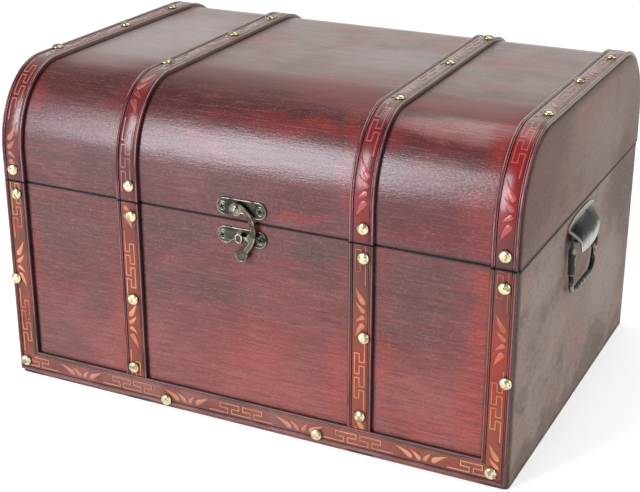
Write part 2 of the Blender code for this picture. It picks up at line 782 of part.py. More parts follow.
def leaf_outline(up, tabs):
    """A leaf seen flat, from the pin line; tabs are the knuckles' ranges along it."""
    half = HINGE_WIDTH / 2
    far = KNUCKLE_ROOM + LEAF_HEIGHT
    root = KNUCKLE_ROOM + TAB_RELIEF
    points = [(-half, far), (half, far)]
    if not near(tabs[-1][1], half):
        points.append((half, KNUCKLE_ROOM))
    for start, end in reversed(tabs):
        if not near(end, half):
            points.append((end, root))
        points += [(end, 0), (start, 0)]
        if not near(start, -half):
            points.append((start, root))
    if not near(tabs[0][0], -half):
        points.append((-half, KNUCKLE_ROOM))
    return [(a, up * b) for a, b in points]


def hinge_leaf(name, x, up, tabs, parent):
    bm = outline_mesh([leaf_outline(up, tabs)], LEAF_THICKNESS, ACROSS_FRONT)
    bmesh.ops.translate(bm, verts=bm.verts, vec=(x, LEAF_FOOT + LEAF_THICKNESS / 2, HINGE_Z))
    made = finish(name, bm, BRONZE, parent, smooth=35)
    barrels = bmesh.new()
    for start, end in tabs:
        add_cylinder(barrels, (x + start - KNUCKLE_LIP, HINGE_Y, HINGE_Z),
                     (x + end + KNUCKLE_LIP, HINGE_Y, HINGE_Z), KNUCKLE_RADIUS, 16)
    boolean(made, cutter(name + "_barrels", barrels), "UNION")
    screws = bmesh.new()
    middle = HINGE_Z + up * (KNUCKLE_ROOM + LEAF_HEIGHT * 0.55)
    for side in (-1, 1):
        foot = Vector((x + side * HINGE_WIDTH * 0.3, LEAF_FOOT + LEAF_THICKNESS / 2, middle))
        head = Vector((foot.x, LEAF_FOOT + LEAF_THICKNESS + SCREW_HEAD, foot.z))
        add_cylinder(screws, foot, head, SCREW_RADIUS, 10, SCREW_RADIUS * 0.85)
    boolean(made, cutter(name + "_screws", screws), "UNION")
    bore = bmesh.new()
    reach = HINGE_WIDTH
    add_cylinder(bore, (x - reach, HINGE_Y, HINGE_Z), (x + reach, HINGE_Y, HINGE_Z),
                 PIN_RADIUS + PIN_CLEARANCE, 12)
    boolean(made, cutter(name + "_bore", bore), "DIFFERENCE")


def hinge(number, x):
    half = HINGE_WIDTH / 2
    inner = KNUCKLE / 2
    back_off = FIT / 2 + KNUCKLE_LIP
    outer_tabs = [(-half, -inner - back_off), (inner + back_off, half)]
    middle_tab = [(-inner + back_off, inner - back_off)]
    hinge_leaf("hinge_leaf_body_%d" % number, x, -1, outer_tabs, BODY)
    hinge_leaf("hinge_leaf_lid_%d" % number, x, 1, middle_tab, LID)
    head = half + KNUCKLE_LIP + FIT
    profile = [(0, head + PIN_HEAD), (PIN_RADIUS * 1.4, head + PIN_HEAD * 0.7),
               (PIN_RADIUS * 1.7, head), (PIN_RADIUS, head)]
    profile += [(r, -z) for r, z in reversed(profile)]
    place = Matrix.Translation((x, HINGE_Y, HINGE_Z)) @ Matrix.Rotation(pi / 2, 4, "Y")
    pin = turned_mesh(profile, 12, place)
    finish("hinge_pin_%d" % number, pin, BRONZE, BODY, smooth=50)


# Handles, each drawn at the wall with x out of it and z down from the hood's top
HANDLE_TOP = BODY_HEIGHT - HANDLE_TOP_DROP


def handle_matrix(side):
    turn = Matrix.Rotation(0 if side > 0 else pi, 4, "Z")
    return Matrix.Translation((side * (HALF_LENGTH + FIT), HANDLE_SIDE, HANDLE_TOP)) @ turn


def hood_bulge(down):
    """How far the hood's inside stands off the wall, so far below its top edge."""
    if down <= FLANGE_HEIGHT:
        return 0.0
    t = (down - FLANGE_HEIGHT) / (HOOD_HEIGHT - FLANGE_HEIGHT)
    return (HOOD_BULGE - HOOD_THICKNESS) * sin(min(t * 1.7, 1.0) * pi / 2) ** 1.2


def hood_mesh():
    bm = bmesh.new()
    bmesh.ops.create_grid(bm, x_segments=8, y_segments=12, size=0.5)
    for v in bm.verts:
        u, t = v.co.x * 2, 0.5 - v.co.y
        down = HOOD_HEIGHT * t
        width = HOOD_TOP_WIDTH + (HOOD_LOW_WIDTH - HOOD_TOP_WIDTH) * t ** 1.1
        sag = HOOD_HEIGHT * 0.02 * (1 - u * u) * t
        droop = HOOD_CORNER_DROP * u ** 4 * (1 - t)
        crown = 1.0 - 0.16 * u * u * t
        v.co = (hood_bulge(down) * crown, u * width / 2, -down - sag - droop)
    return bm


def handle_plate(name, side):
    """Hood, wall flange and the two ears that the bail's stubs turn in."""
    place = handle_matrix(side)
    sheet = hood_mesh()
    mesh = bpy.data.meshes.new(name)
    sheet.to_mesh(mesh)
    sheet.free()
    mesh.transform(place)
    mesh.shade_smooth()
    made = place_mesh(name, mesh, BRONZE, BODY, Vector())
    shell = made.modifiers.new("sheet", "SOLIDIFY")
    shell.thickness = HOOD_THICKNESS
    shell.offset = 1.0
    ear_reach = EAR_SPACING / 2 + EAR_THICKNESS / 2
    back = new_box((0, -ear_reach, -AXLE_DROP - EAR_RADIUS), (BACK_PLATE, ear_reach, -FLANGE_HEIGHT / 2))
    bmesh.ops.transform(back, matrix=place, verts=back.verts)
    boolean(made, cutter(name + "_back", back), "UNION")
    ear = [(BACK_PLATE / 2, EAR_RADIUS)]
    ear += arc((AXLE_REACH, 0), EAR_RADIUS, EAR_RADIUS, pi / 2, -pi / 2, 8)
    ear.append((BACK_PLATE / 2, -EAR_RADIUS))
    bore = bmesh.new()
    add_cylinder(bore, (AXLE_REACH, -ear_reach - FIT, -AXLE_DROP),
                 (AXLE_REACH, ear_reach + FIT, -AXLE_DROP),
                 STUB_RADIUS + STUB_CLEARANCE, 12)
    bmesh.ops.transform(bore, matrix=place, verts=bore.verts)
    for y in (-EAR_SPACING / 2, EAR_SPACING / 2):
        bm = outline_mesh([ear], EAR_THICKNESS, ACROSS_FRONT)
        bmesh.ops.translate(bm, verts=bm.verts, vec=(0, y, -AXLE_DROP))
        bmesh.ops.transform(bm, matrix=place, verts=bm.verts)
        boolean(made, cutter("%s_ear_%s" % (name, "front" if y < 0 else "rear"), bm), "UNION")
    boolean(made, cutter(name + "_bore", bore), "DIFFERENCE")


def bail_path():
    """Half of the bail from its stub to the middle of the grip bar: (y, z, radius)."""
    top = BAIL_WIDTH / 2
    low = BAIL_LOW_WIDTH / 2
    stub_end = EAR_SPACING / 2 - EAR_THICKNESS / 2 - 0.0010
    turn = 0.0035
    grip_end = -turn - 0.002 - GRIP_LENGTH

    def leg(z):
        return top + (low - top) * (-z) / BAIL_DROP

    points = [(stub_end, 0, STUB_RADIUS), (top - turn - 0.0006, 0, STUB_RADIUS)]
    points += [(a, b, STUB_RADIUS * 1.15) for a, b in
               arc((top - turn, -turn), turn, turn, radians(70), radians(20), 2)]
    points += [(leg(-turn - 0.002), -turn - 0.002, GRIP_RADIUS * 0.95),
               (leg(grip_end / 2), grip_end / 2, GRIP_RADIUS),
               (leg(grip_end), grip_end, GRIP_RADIUS * 0.95),
               (leg(grip_end - 0.0015), grip_end - 0.0015, BAIL_RADIUS)]
    points += [(a, b, BAIL_RADIUS) for a, b in
               arc((low - BAIL_CORNER, BAIL_CORNER - BAIL_DROP), BAIL_CORNER, BAIL_CORNER,
                   0, -pi / 2, 5)]
    return points


def handle_bail(name, side):
    axis = handle_matrix(side) @ Vector((AXLE_REACH, 0, -AXLE_DROP))
    half = bail_path()
    route = [(-y, z, r) for y, z, r in half] + [(y, z, r) for y, z, r in reversed(half)]
    curve = bpy.data.curves.new(name, "CURVE")
    curve.dimensions = "3D"
    curve.bevel_depth = 1.0
    curve.bevel_resolution = 2
    curve.use_fill_caps = True
    spline = curve.splines.new("POLY")
    spline.points.add(len(route) - 1)
    for point, (y, z, radius) in zip(spline.points, route):
        point.co = (0, y, z, 1)
        point.radius = radius
    spline.use_smooth = True
    curve.materials.append(material(BRONZE))
    made = bpy.data.objects.new(name, curve)
    PARTS.objects.link(made)
    made.parent = BODY
    made.location = axis


def main():
    pieces = {
        "left_end_panel": end_panel("left_end_panel", -1),
        "right_end_panel": end_panel("right_end_panel", 1),
        "front_panel": long_panel("front_panel", -1),
        "lid_skin": lid_skin(),
        "lid_left_end": lid_end("lid_left_end", -1),
        "lid_right_end": lid_end("lid_right_end", 1),
    }
    long_panel("back_panel", 1)
    bottom_panel()
    for i, x in enumerate(STRAP_PLACES):
        corner = {0: -1, 3: 1}.get(i, 0)
        name = "front_strap_%d" % (i + 1)
        pieces[name] = front_strap(name, x, corner)
        name = "lid_strap_%d" % (i + 1)
        pieces[name] = lid_strap(name, x)
    pieces["base_strip"] = base_strip()
    build_nails(pieces)
    latch_plate()
    swing_hook()
    keeper_plate()
    for i, x in enumerate(HINGE_PLACES):
        hinge(i + 1, x)
    for name, side in (("left", -1), ("right", 1)):
        handle_plate("handle_plate_" + name, side)
        handle_bail("handle_bail_" + name, side)


main()
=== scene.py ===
# Looks for the wooden treasure chest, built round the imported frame
import json
from math import atan2, cos, degrees, pi, radians, sin, sqrt
import bmesh
import bpy
import numpy as np
from mathutils import Matrix, Vector


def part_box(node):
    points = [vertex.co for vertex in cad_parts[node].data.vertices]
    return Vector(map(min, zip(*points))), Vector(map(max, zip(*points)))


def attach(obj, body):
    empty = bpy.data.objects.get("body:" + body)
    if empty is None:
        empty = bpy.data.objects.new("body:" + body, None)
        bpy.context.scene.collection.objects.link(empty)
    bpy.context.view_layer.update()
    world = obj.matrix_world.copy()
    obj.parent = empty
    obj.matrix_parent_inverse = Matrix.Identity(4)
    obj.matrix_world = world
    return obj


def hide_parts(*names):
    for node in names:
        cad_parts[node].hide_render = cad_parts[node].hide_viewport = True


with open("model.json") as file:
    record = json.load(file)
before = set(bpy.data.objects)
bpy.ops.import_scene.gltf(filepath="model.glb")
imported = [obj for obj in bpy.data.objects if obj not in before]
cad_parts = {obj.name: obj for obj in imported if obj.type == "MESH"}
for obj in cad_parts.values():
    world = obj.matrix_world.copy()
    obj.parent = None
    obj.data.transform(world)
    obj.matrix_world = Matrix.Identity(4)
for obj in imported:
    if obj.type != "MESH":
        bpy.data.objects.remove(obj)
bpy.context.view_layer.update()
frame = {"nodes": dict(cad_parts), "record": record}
nodes = frame["nodes"]
print("frame loaded,", len(nodes), "solids")

mm = 0.001


# Shader expressions: a Wire is a socket that can be added, multiplied and so on
class Wire:
    def __init__(self, finish, socket):
        self.finish = finish
        self.socket = socket

    def run(self, operation, *values):
        return self.finish.node("ShaderNodeMath", {"operation": operation}, dict(enumerate(values)))

    def __add__(self, other):
        return self.run("ADD", self, other)

    def __radd__(self, other):
        return self.run("ADD", other, self)

    def __sub__(self, other):
        return self.run("SUBTRACT", self, other)

    def __rsub__(self, other):
        return self.run("SUBTRACT", other, self)

    def __mul__(self, other):
        return self.run("MULTIPLY", self, other)

    def __rmul__(self, other):
        return self.run("MULTIPLY", other, self)

    def __pow__(self, other):
        return self.run("POWER", self, other)

    def __abs__(self):
        return self.run("ABSOLUTE", self)

    def most(self, other):
        return self.run("MAXIMUM", self, other)

    def least(self, other):
        return self.run("MINIMUM", self, other)


class Finish:
    def __init__(self, name, look, holder=None):
        self.look = look
        self.material = holder or bpy.data.materials.new(name)
        self.material.use_nodes = True
        self.tree = self.material.node_tree
        self.shader = self.tree.nodes[name if holder else "Principled BSDF"]
        self.at = None

    def feed(self, socket, value):
        if isinstance(value, str):  # a colour of the piece's own dictionary
            value = self.look[value]
        if isinstance(value, Wire):
            self.tree.links.new(value.socket, socket)
        elif hasattr(value, "__len__") and len(value) == 3 and len(socket.default_value) == 4:
            socket.default_value = (*value, 1.0)
        else:
            socket.default_value = value

    def node(self, kind, settings, sockets, out=0):
        made = self.tree.nodes.new(kind)
        for key, value in settings.items():
            setattr(made, key, value)
        for key, value in sockets.items():
            self.feed(made.inputs[key], value)
        return Wire(self, made.outputs[out])

    def where(self):  # the row frame's own coordinates, in metres
        self.at = self.at or self.node("ShaderNodeTexCoord", {}, {}, 3)
        return self.at

    def laid(self):  # along, across and out on a strap, in mm
        return self.parts(self.node("ShaderNodeAttribute", {"attribute_name": "laid"}, {}, 1))

    def parts(self, vector):
        split = self.node("ShaderNodeSeparateXYZ", {}, {0: vector})
        return [Wire(self, socket) for socket in split.socket.node.outputs]

    def noise(self, scale, detail=3.0, rough=0.5, bend=0.0, stretch=(1, 1, 1), shift=(0, 0, 0)):
        at = self.where()
        if stretch != (1, 1, 1) or shift != (0, 0, 0):
            at = self.node("ShaderNodeMapping", {}, {0: at, 1: shift, 3: stretch})
        return self.node("ShaderNodeTexNoise", {}, {"Vector": at, "Scale": scale, "Detail": detail,
                                                    "Roughness": rough, "Distortion": bend})

    def over(self, colour, *layers):  # lays each colour on by its own share
        for paint, share in layers:
            colour = self.node("ShaderNodeMix", {"data_type": "RGBA"}, {0: share, 6: colour, 7: paint}, 2)
        return colour

    def rise(self, wire, start, end):  # 0 at start and 1 at end, smooth between; start may be higher
        return self.node("ShaderNodeMapRange", {"interpolation_type": "SMOOTHSTEP"},
                         {0: wire, 1: start, 2: end})

    def bump(self, height, distance, strength=1.0, under=None):
        sockets = {"Strength": strength, "Distance": distance, "Height": height}
        if under:
            sockets["Normal"] = under
        return self.node("ShaderNodeBump", {}, sockets)

    def rays(self):
        ways = self.node("ShaderNodeLightPath", {}, {}).socket.node.outputs
        return [Wire(self, ways["Is %s Ray" % kind]) for kind in ("Camera", "Glossy", "Transmission")]

    def set(self, **sockets):
        for key, value in sockets.items():
            self.feed(self.shader.inputs[key.replace("_", " ")], value)
        return self.material


def begun(name, look):  # a finish, and what most formulas start from
    finish = Finish(name, look)
    return (finish, finish.rise, finish.over, finish.noise, *finish.parts(finish.where()))


def paints(**colours):  # colours as they are read off a screen
    def line(c):
        c = c / 255
        return c / 12.92 if c < 0.04045 else ((c + 0.055) / 1.055) ** 2.4
    return {name: tuple(line(c) for c in colour) for name, colour in colours.items()}


# The chest's own sizes, off the solids
boardLow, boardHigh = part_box("front_panel")
skinLow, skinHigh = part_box("lid_skin")
baseLow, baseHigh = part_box("base_strip")
chest = {
    "bodyTop": boardHigh.z, "lidTop": skinHigh.z, "lidWall": 0.025, "frontShoulder": 0.055,
    "rearShoulder": 0.062, "skin": 0.005, "board": 0.009,
}
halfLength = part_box("right_end_panel")[1].x
halfDepth = -boardLow.y
seamZ = skinLow.z
gap = 0.3 * mm  # between a solid's face and what is laid on it
strapLean = 0.007  # how far the two middle straps of the lid lean over its depth
strapX = [sum(corner.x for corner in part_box("front_strap_%d" % i)) / 2 for i in (1, 2, 3, 4)]
middleStraps = strapX[1:3]


# Wood
woodLook = paints(
    base=(101, 47, 45), rose=(138, 74, 69), red=(162, 50, 42), crimson=(146, 38, 36),
    smoke=(64, 52, 50), line=(58, 30, 32), pale=(168, 122, 118), edge=(30, 14, 15),
    lidBase=(92, 46, 50), wine=(70, 26, 25), ember=(112, 62, 56), deep=(86, 10, 15),
    top=(136, 116, 110), topDark=(114, 104, 94), topRose=(142, 100, 91), topPale=(160, 148, 146),
    rosePale=(162, 112, 106), back=(98, 62, 56), backPale=(122, 82, 74), inside=(98, 66, 54),
    insidePale=(124, 88, 72), insideLine=(62, 40, 33), side=(139, 117, 106), sideDark=(86, 62, 54),
    sideRose=(156, 116, 106), sidePale=(153, 138, 129), sideLid=(112, 80, 68))
# each blot in mm: place across, place up (or round the lid), half width, half height; and its strength
woodLook.update({
    "frontSmoke": [
        (-165, 145, 30, 22, 0.8), (-178, 34, 24, 24, 0.6), (-60, 166, 38, 18, 1), (-36, 116, 34, 14, 0.5),
        (62, 64, 22, 10, 0.3), (-85, 112, 14, 30, 0.5), (140, 120, 26, 14, 0.7), (125, 36, 14, 26, 0.3),
        (158, 154, 32, 22, 1), (42, 152, 36, 24, 0.7), (72, 170, 24, 9, 0.8), (-155, 88, 24, 18, 0.35)],
    "frontRed": [
        (196, 156, 20, 16, 0.7), (202, 68, 18, 36, 1.1), (203, 130, 15, 42, 1.1), (10, 80, 40, 20, 0.5),
        (-28, 103, 14, 4, 0.5), (86, 58, 12, 45, 0.7), (28, 142, 30, 18, 0.4), (-175, 92, 18, 7, 0.4),
        (120, 92, 12, 22, 0.7), (145, 40, 30, 10, 0.7), (-116, 60, 7, 50, 0.5), (20, 46, 60, 20, 0.35),
        (-200, 120, 6, 40, 0.5)],
    "lidRed": [
        (203, 138, 14, 40, 1.7), (34, 112, 55, 11, 0.8), (150, 115, 50, 10, 0.35), (88, 126, 8, 34, 0.5),
        (118, 112, 10, 16, 0.6), (-8, 330, 12, 30, 0.6), (60, 180, 34, 34, 0.35), (55, 26, 18, 4, 0.9),
        (165, 26, 34, 10, 0.5), (90, 60, 6, 40, 0.7), (-198, 100, 10, 22, 0.6), (-120, 110, 8, 26, 0.25),
        (204, 55, 22, 50, 0.9), (160, 320, 30, 30, 0.3)],
    "lidSmoke": [
        (-160, 45, 36, 18, 0.5), (-50, 155, 60, 16, 0.7), (140, 150, 34, 14, 0.6),
        (-165, 150, 30, 14, 0.5), (10, 40, 60, 12, 0.4), (130, 50, 20, 16, 0.4)],
    "lidDeep": [(158, 50, 44, 26, 0.95), (46, 46, 34, 18, 0.6), (196, 75, 14, 20, 0.4)],
    # a painted highlight towards the lid's right
    "lidRosy": [(155, 134, 40, 14, 0.7), (150, 170, 40, 30, 0.3)],
    "lidPale": [(-165, 260, 50, 80, 0.7), (60, 285, 50, 30, 0.4)],
    # smoke stains on the ends, with a painted dark reflection at the upper front
    "sideSmoke": [
        (-150, 255, 80, 60, 1.1), (110, 165, 45, 30, 0.8), (-40, 10, 160, 10, 0.5),
        (140, 150, 30, 80, 0.7)],
    "sideGrey": [(85, 75, 45, 30, 0.9), (40, 215, 50, 30, 0.5), (-90, 150, 40, 20, 0.6)],
    "hoodShade": [(-45.5, 157, 8, 12, 1)],
})


def blots(finish, across, up, key):
    total = 0
    for x, z, wide, tall, strength in finish.look[key]:
        spread = (((across - x * mm) * (1 / (wide * mm))) ** 2.0
                  + ((up - z * mm) * (1 / (tall * mm))) ** 2.0)
        total += finish.rise(spread, 2.4, 0.0) * strength
    return total


def seamLine(finish, z, wider, start, end, drop=0.15 * mm):  # 1 along the seam, 0 away from it
    return finish.rise(abs(z - seamZ + drop) - wider, end, start)


def plainWood(wood):  # unstained boards, as they are inside
    soft = wood.noise(15.0, 3.0, 0.55, 0.4, (1, 2.2, 2.2), (5.1, 3.3, 0.7))
    grain = wood.noise(1.0, 3.0, 0.6, stretch=(26, 520, 520))
    return wood.over(
        "inside", ("insidePale", wood.rise(soft, 0.42, 0.66) * 0.7),
        ("insideLine", wood.rise(grain, 0.50, 0.70) * 0.55))


def cherryWood(name, part):
    onLid = part == "lid"
    wood, rise, over, noise, x, y, z = begun(name, woodLook)
    up = z + y if onLid else z  # round the lid this runs from the front edge to the back
    drift = noise(24.0, 1.5)
    driftToo = noise(30.0, 1.5, shift=(4.7, 2.2, 8.1))
    fine = noise(1.0, 2.0, 0.6, stretch=(34, 980, 980))
    streak = noise(1.0, 3.0, 0.6, 0.0, (9, 150, 150), (1.3, 0.2, 0.6))
    speck = noise(620.0, 1.0, stretch=(1, 1.3, 1.3))
    cloud = noise(17.0, 3.0, 0.55, 0.5, (1, 1.7, 1.7))
    grit = noise(330.0, 2.0, stretch=(1, 2.2, 2.2))
    acrossBent = x + (drift - 0.5) * 0.040 + (fine - 0.5) * 0.012
    upBent = up + (driftToo - 0.5) * 0.030
    sway = drift - 0.5

    def stain(key):
        return blots(wood, acrossBent, upBent, key)

    if onLid:
        crown = over(
            "top", ("topRose", rise(drift, 0.50, 0.64) * 0.8),
            ("topDark", rise(driftToo, 0.50, 0.68) * 0.7))
        colour = over(
            "lidBase", ("rose", rise(cloud, 0.44, 0.70) * 0.35), ("wine", rise(up, 0.085, 0.120) * 0.85),
            ("ember", rise(up + sway * 0.03, 0.122, 0.172) * 0.85),
            (crown, rise(up + sway * 0.05, 0.142, 0.262) * 0.95),
            # the rosy pale blots are a painted highlight
            ("topPale", stain("lidPale").least(0.8)), ("rosePale", stain("lidRosy").least(0.8)),
            ("deep", stain("lidDeep").least(0.85)))
        smoke, red = stain("lidSmoke"), stain("lidRed")
    elif part == "back":
        colour = over("back", ("backPale", rise(cloud, 0.44, 0.68) * 0.6))
        smoke = rise(drift, 0.48, 0.66) * 0.5
        red = rise(driftToo, 0.52, 0.68) * 0.35
    else:
        rosy = rise(z + sway * 0.05, 0.115, 0.035) * (0.70 + 0.45 * rise(x, -0.06, 0.08))
        colour = over(
            "base", ("rose", (rise(cloud, 0.44, 0.66) * 0.35 + rosy).least(1.0)),
            ("red", rise(x, -0.05, 0.20) * 0.12))
        smoke, red = stain("frontSmoke"), stain("frontRed")
    broken = rise(cloud + streak * 0.5, 0.54, 0.96)
    lined = rise(up, 0.200, 0.130) * 0.7 + 0.3 if onLid else 1.0
    colour = over(
        colour, ("crimson" if onLid else "red", (red * (0.34 + 0.32 * broken)).least(0.75)),
        ("smoke", (smoke * (0.32 + 0.30 * rise(streak, 0.62, 0.38))).least(0.8)),
        ("line", rise(fine, 0.50, 0.68) * 0.50 * lined), ("pale", rise(fine, 0.46, 0.32) * 0.16 * lined),
        ("line", rise(speck, 0.54, 0.72) * 0.30 * lined), ("pale", rise(speck, 0.44, 0.28) * 0.20),
        ("line", rise(streak, 0.56, 0.74) * 0.16 * lined))
    # painted shadow on the boards beside each strap, made patchy; and dark along the seam: burnished
    # board edges with painted shade in the gap
    if part != "back":
        strapShadow = 0
        for place in strapX:
            off = x - place
            if onLid and place in middleStraps:
                off += strapLean * (y * (0.5 / halfDepth) + 0.5)
            strapShadow += rise(off, 0.0130 if onLid else 0.0138, 0.0100) * rise(off, -0.0125, -0.0100)
        shadowPatchiness = rise(drift, 0.30, 0.55) * 0.5 + 0.5
        colour = over(colour, ("edge", strapShadow * shadowPatchiness * 0.85))
    seam = seamLine(wood, z, rise(x, 0.10, 0.225) * 0.0008, 0.0006, 0.0020)
    colour = over(colour, ("edge", seam * 0.9))
    rough = 0.19 + 0.10 * fine + 0.08 * cloud
    bumps = wood.bump(noise(1.0, 2.0, stretch=(20, 70, 70)), 0.0008, 0.3)
    if onLid:  # the top goes on rounding a little behind the shoulder
        bumps = wood.bump(rise(y, -0.143, -0.066), 0.0072, 1.0, bumps)
    else:  # only the face of the board is stained
        outside = rise(abs(y), halfDepth - 2.2 * mm, halfDepth - 1.4 * mm)
        colour = over(plainWood(wood), (colour, outside))
        rough = 0.52 - outside * 0.5 * (1.04 - 2.0 * rough)
    bumps = wood.bump(fine, 0.00016, 0.40, wood.bump(grit, 0.00030, 0.40, bumps))
    return wood.set(Base_Color=colour, Roughness=rough, Normal=bumps)


def brownWood(name, onLid):
    wood, rise, over, noise, x, y, z = begun(name, woodLook)
    cloud = noise(19.0, 4.0, 0.62, 0.4, (1.0, 1.0, 1.2))
    patch = noise(15.0, 3.0, 0.55, 0.5, (1.0, 1.2, 1.3), (2.3, 7.7, 1.2))
    fine = noise(1.0, 3.0, 0.6, stretch=(60, 190, 520))
    streak = noise(1.0, 4.0, 0.65, 0.0, (16, 55, 90), (0.4, 0.2, 0.6))
    speck = noise(620.0, 1.0)
    puff, sway = cloud - 0.5, patch - 0.5
    bentY, bentZ = y + puff * 0.06, z + sway * 0.05
    # burnished along the edges; dark along the seam too, burnished with painted shade in the gap
    ends = rise(abs(y) + puff * 0.010, halfDepth - 0.007, halfDepth)
    foot = rise(z + puff * 0.008, 0.007, 0.001)
    crown = rise(z + sway * 0.010, chest["lidTop"] - 0.009, chest["lidTop"] - 0.001)
    seam = seamLine(wood, z, rise(y, -0.02, -0.165) * 0.0010, 0.0009, 0.0023)
    colour = over(
        "side", ("sideRose", rise(cloud, 0.47, 0.64) * 0.6), ("sidePale", rise(patch, 0.50, 0.68) * 0.5),
        ("sideDark", rise(cloud, 0.49, 0.34) * 0.5), ("sideDark", rise(streak, 0.52, 0.70) * 0.3),
        # smoke stains, and a painted dark reflection at the upper front
        ("sideDark", blots(wood, bentY, bentZ, "sideSmoke").least(0.85)),
        ("sidePale", blots(wood, bentY, bentZ, "sideGrey").least(0.8)),
        ("line", rise(fine, 0.54, 0.70) * 0.24), ("line", rise(speck, 0.54, 0.72) * 0.35),
        ("sidePale", rise(speck, 0.44, 0.28) * 0.40), ("edge", ends.most(foot).most(crown) * 0.65),
        ("edge", seam * 0.97))
    if onLid:
        colour = over(colour, ("sideLid", 0.45))
    else:  # painted shadow below the hood, and plain wood within
        colour = over(colour, ("edge", blots(wood, y, z, "hoodShade").least(0.85)))
        face = rise(abs(x), halfLength - 3.2 * mm, halfLength - 2.4 * mm)
        rim = rise(abs(y), halfDepth - 2.0 * mm, halfDepth - 1.0 * mm)
        colour = over(plainWood(wood), (colour, face.most(rim)))
    return wood.set(Base_Color=colour, Roughness=0.44 + 0.12 * fine, Specular_IOR_Level=0.2,
                    Normal=wood.bump(fine, 0.0002, 0.4))


def insideFinish(name):
    wood = Finish(name, woodLook)
    fine = wood.noise(1.0, 3.0, 0.6, stretch=(26, 520, 520))
    return wood.set(Base_Color=plainWood(wood), Roughness=0.46 + 0.12 * fine,
                    Normal=wood.bump(fine, 0.0002, 0.4))


def dress(finish, *names):  # a finish for solids that show as they are
    for name in names:
        nodes[name].data.materials.clear()
        nodes[name].data.materials.append(finish)


cherryLid = cherryWood("cherryLid", "lid")
brownLidEnd = brownWood("brownLidEnd", True)
insideWood = insideFinish("insideWood")
dress(cherryWood("cherryFront", "front"), "front_panel")
dress(cherryWood("cherryBack", "back"), "back_panel")
dress(brownWood("brownEnd", False), "left_end_panel", "right_end_panel")
dress(insideWood, "bottom_panel")
print("wood done")


# Meshes
def added(name, data):
    made = bpy.data.objects.new(name, data)
    bpy.context.scene.collection.objects.link(made)
    return made


def meshed(name, bm, *finishes):
    mesh = bpy.data.meshes.new(name)
    bm.to_mesh(mesh)
    bm.free()
    for finish in finishes:
        mesh.materials.append(finish)
    return mesh


def solid(name, bm, finish, body, stands=(), sharp=35, second=None):
    bmesh.ops.recalc_face_normals(bm, faces=bm.faces)
    mesh = meshed(name, bm, finish, *([second] if second else []))
    mesh.shade_smooth()
    mesh.set_sharp_from_angle(angle=radians(sharp))
    made = added(name, mesh)
    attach(made, body)
    if stands:
        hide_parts(*stands)


def square(way):  # the way turned a quarter to the left
    return Vector((-way.y, way.x))


def join(bm, a, b, finish=0):  # faces between two rows, with three corners where a row is one point
    for corners in zip(a, a[1:], b[1:], b):
        bm.faces.new(dict.fromkeys(corners)).material_index = finish


def hull(bm, rings, capped=True):  # faces from ring to ring, and over both ends
    for a, b in zip(rings, rings[1:]):
        join(bm, a + a[:1], b + b[:1])
    if capped:
        return bm.faces.new(rings[0][::-1]), bm.faces.new(rings[-1])


def turnedPiece(bm, profile, place, segments=32):  # profile of (radius, height), from the top down
    turns = [2 * pi * i / segments for i in range(segments)]
    loops = []
    for radius, height in profile:
        if radius:
            loops.append([bm.verts.new(place(radius * cos(turn), radius * sin(turn), height))
                          for turn in turns])
        else:
            loops.append([bm.verts.new(place(0, 0, height))] * segments)
    hull(bm, loops, False)
    bm.faces.new(loops[-1][::-1])


def arc(centre, radius, start, end, steps, upRadius=None):  # from start to end in degrees
    turns = [radians(start + (end - start) * i / steps) for i in range(steps + 1)]
    return [(centre[0] + radius * cos(turn), centre[1] + (upRadius or radius) * sin(turn))
            for turn in turns]


def lidOutline(inset=0.0, steps=36):  # (y, z) from the front edge over to the rear edge
    wallTop = seamZ + chest["lidWall"]
    up = chest["lidTop"] - wallTop - inset
    front, rear = chest["frontShoulder"], chest["rearShoulder"]
    return [(-halfDepth + inset, seamZ),
            *arc((-halfDepth + front, wallTop), front - inset, 180, 90, steps, up),
            *arc((halfDepth - rear, wallTop), rear - inset, 90, 0, steps, up),
            (halfDepth - inset, seamZ)]


# Straps are drawn flat in mm as (along, across, out) and then laid on the chest
strapLook = {
    "half": [(10.0, 0.0), (10.0, 2.1), (9.88, 2.65), (9.5, 3.05), (9.0, 3.2), (8.5, 3.1),
             (8.15, 2.85), (7.95, 2.62), (7.72, 2.62), (7.55, 2.86), (7.3, 3.0), (7.0, 2.92),
             (6.8, 2.6), (6.66, 2.05), (6.46, 2.05), (6.3, 2.42), (6.1, 2.5)],
    # grooves and ribs of the border, across from the middle
    "inner": 6.56, "rib": 7.3, "outer": 7.85, "crest": 9.0,
    "field": 2.5, "relief": 0.42, "sink": 0.15, "line": 1.45, "laidStep": 2.6,
    "top": chest["bodyTop"] - 0.9 * mm,
    "baseMiddle": (baseLow.z + baseHigh.z) / 2,
    "overTop": 0.55, "footGap": 0.3, "mitreGap": 0.42, "lidStart": 0.35, "lidEnd": 0.9,
    # where each key begins, and how far the pattern stays off the ends of its strap
    "period": 106.7, "frontKeys": [-9.7, 24.8, 78.8, 78.8], "lidKeys": [110.5, 67.0, 125.5, 125.5],
    "baseKeys": [-242.2, -137.3, -32.5, 72.3, 177.2],
    "clear": {"front": 0.2, "mitre": 0.8, "lid": 1.2, "base": 0.6},
}
keyLine = [(0, -4.1), (17.5, -4.1), (17.5, 0.1), (10.5, 0.1), (10.5, 4.1), (28, 4.1), (28, 0.1),
           (21, 0.1), (21, -4.1), (38.5, -4.1), (38.5, 0.1), (31.5, 0.1), (31.5, 4.1), (49, 4.1),
           (49, 0.1), (42, 0.1), (42, -4.1), (59.5, -4.1)]
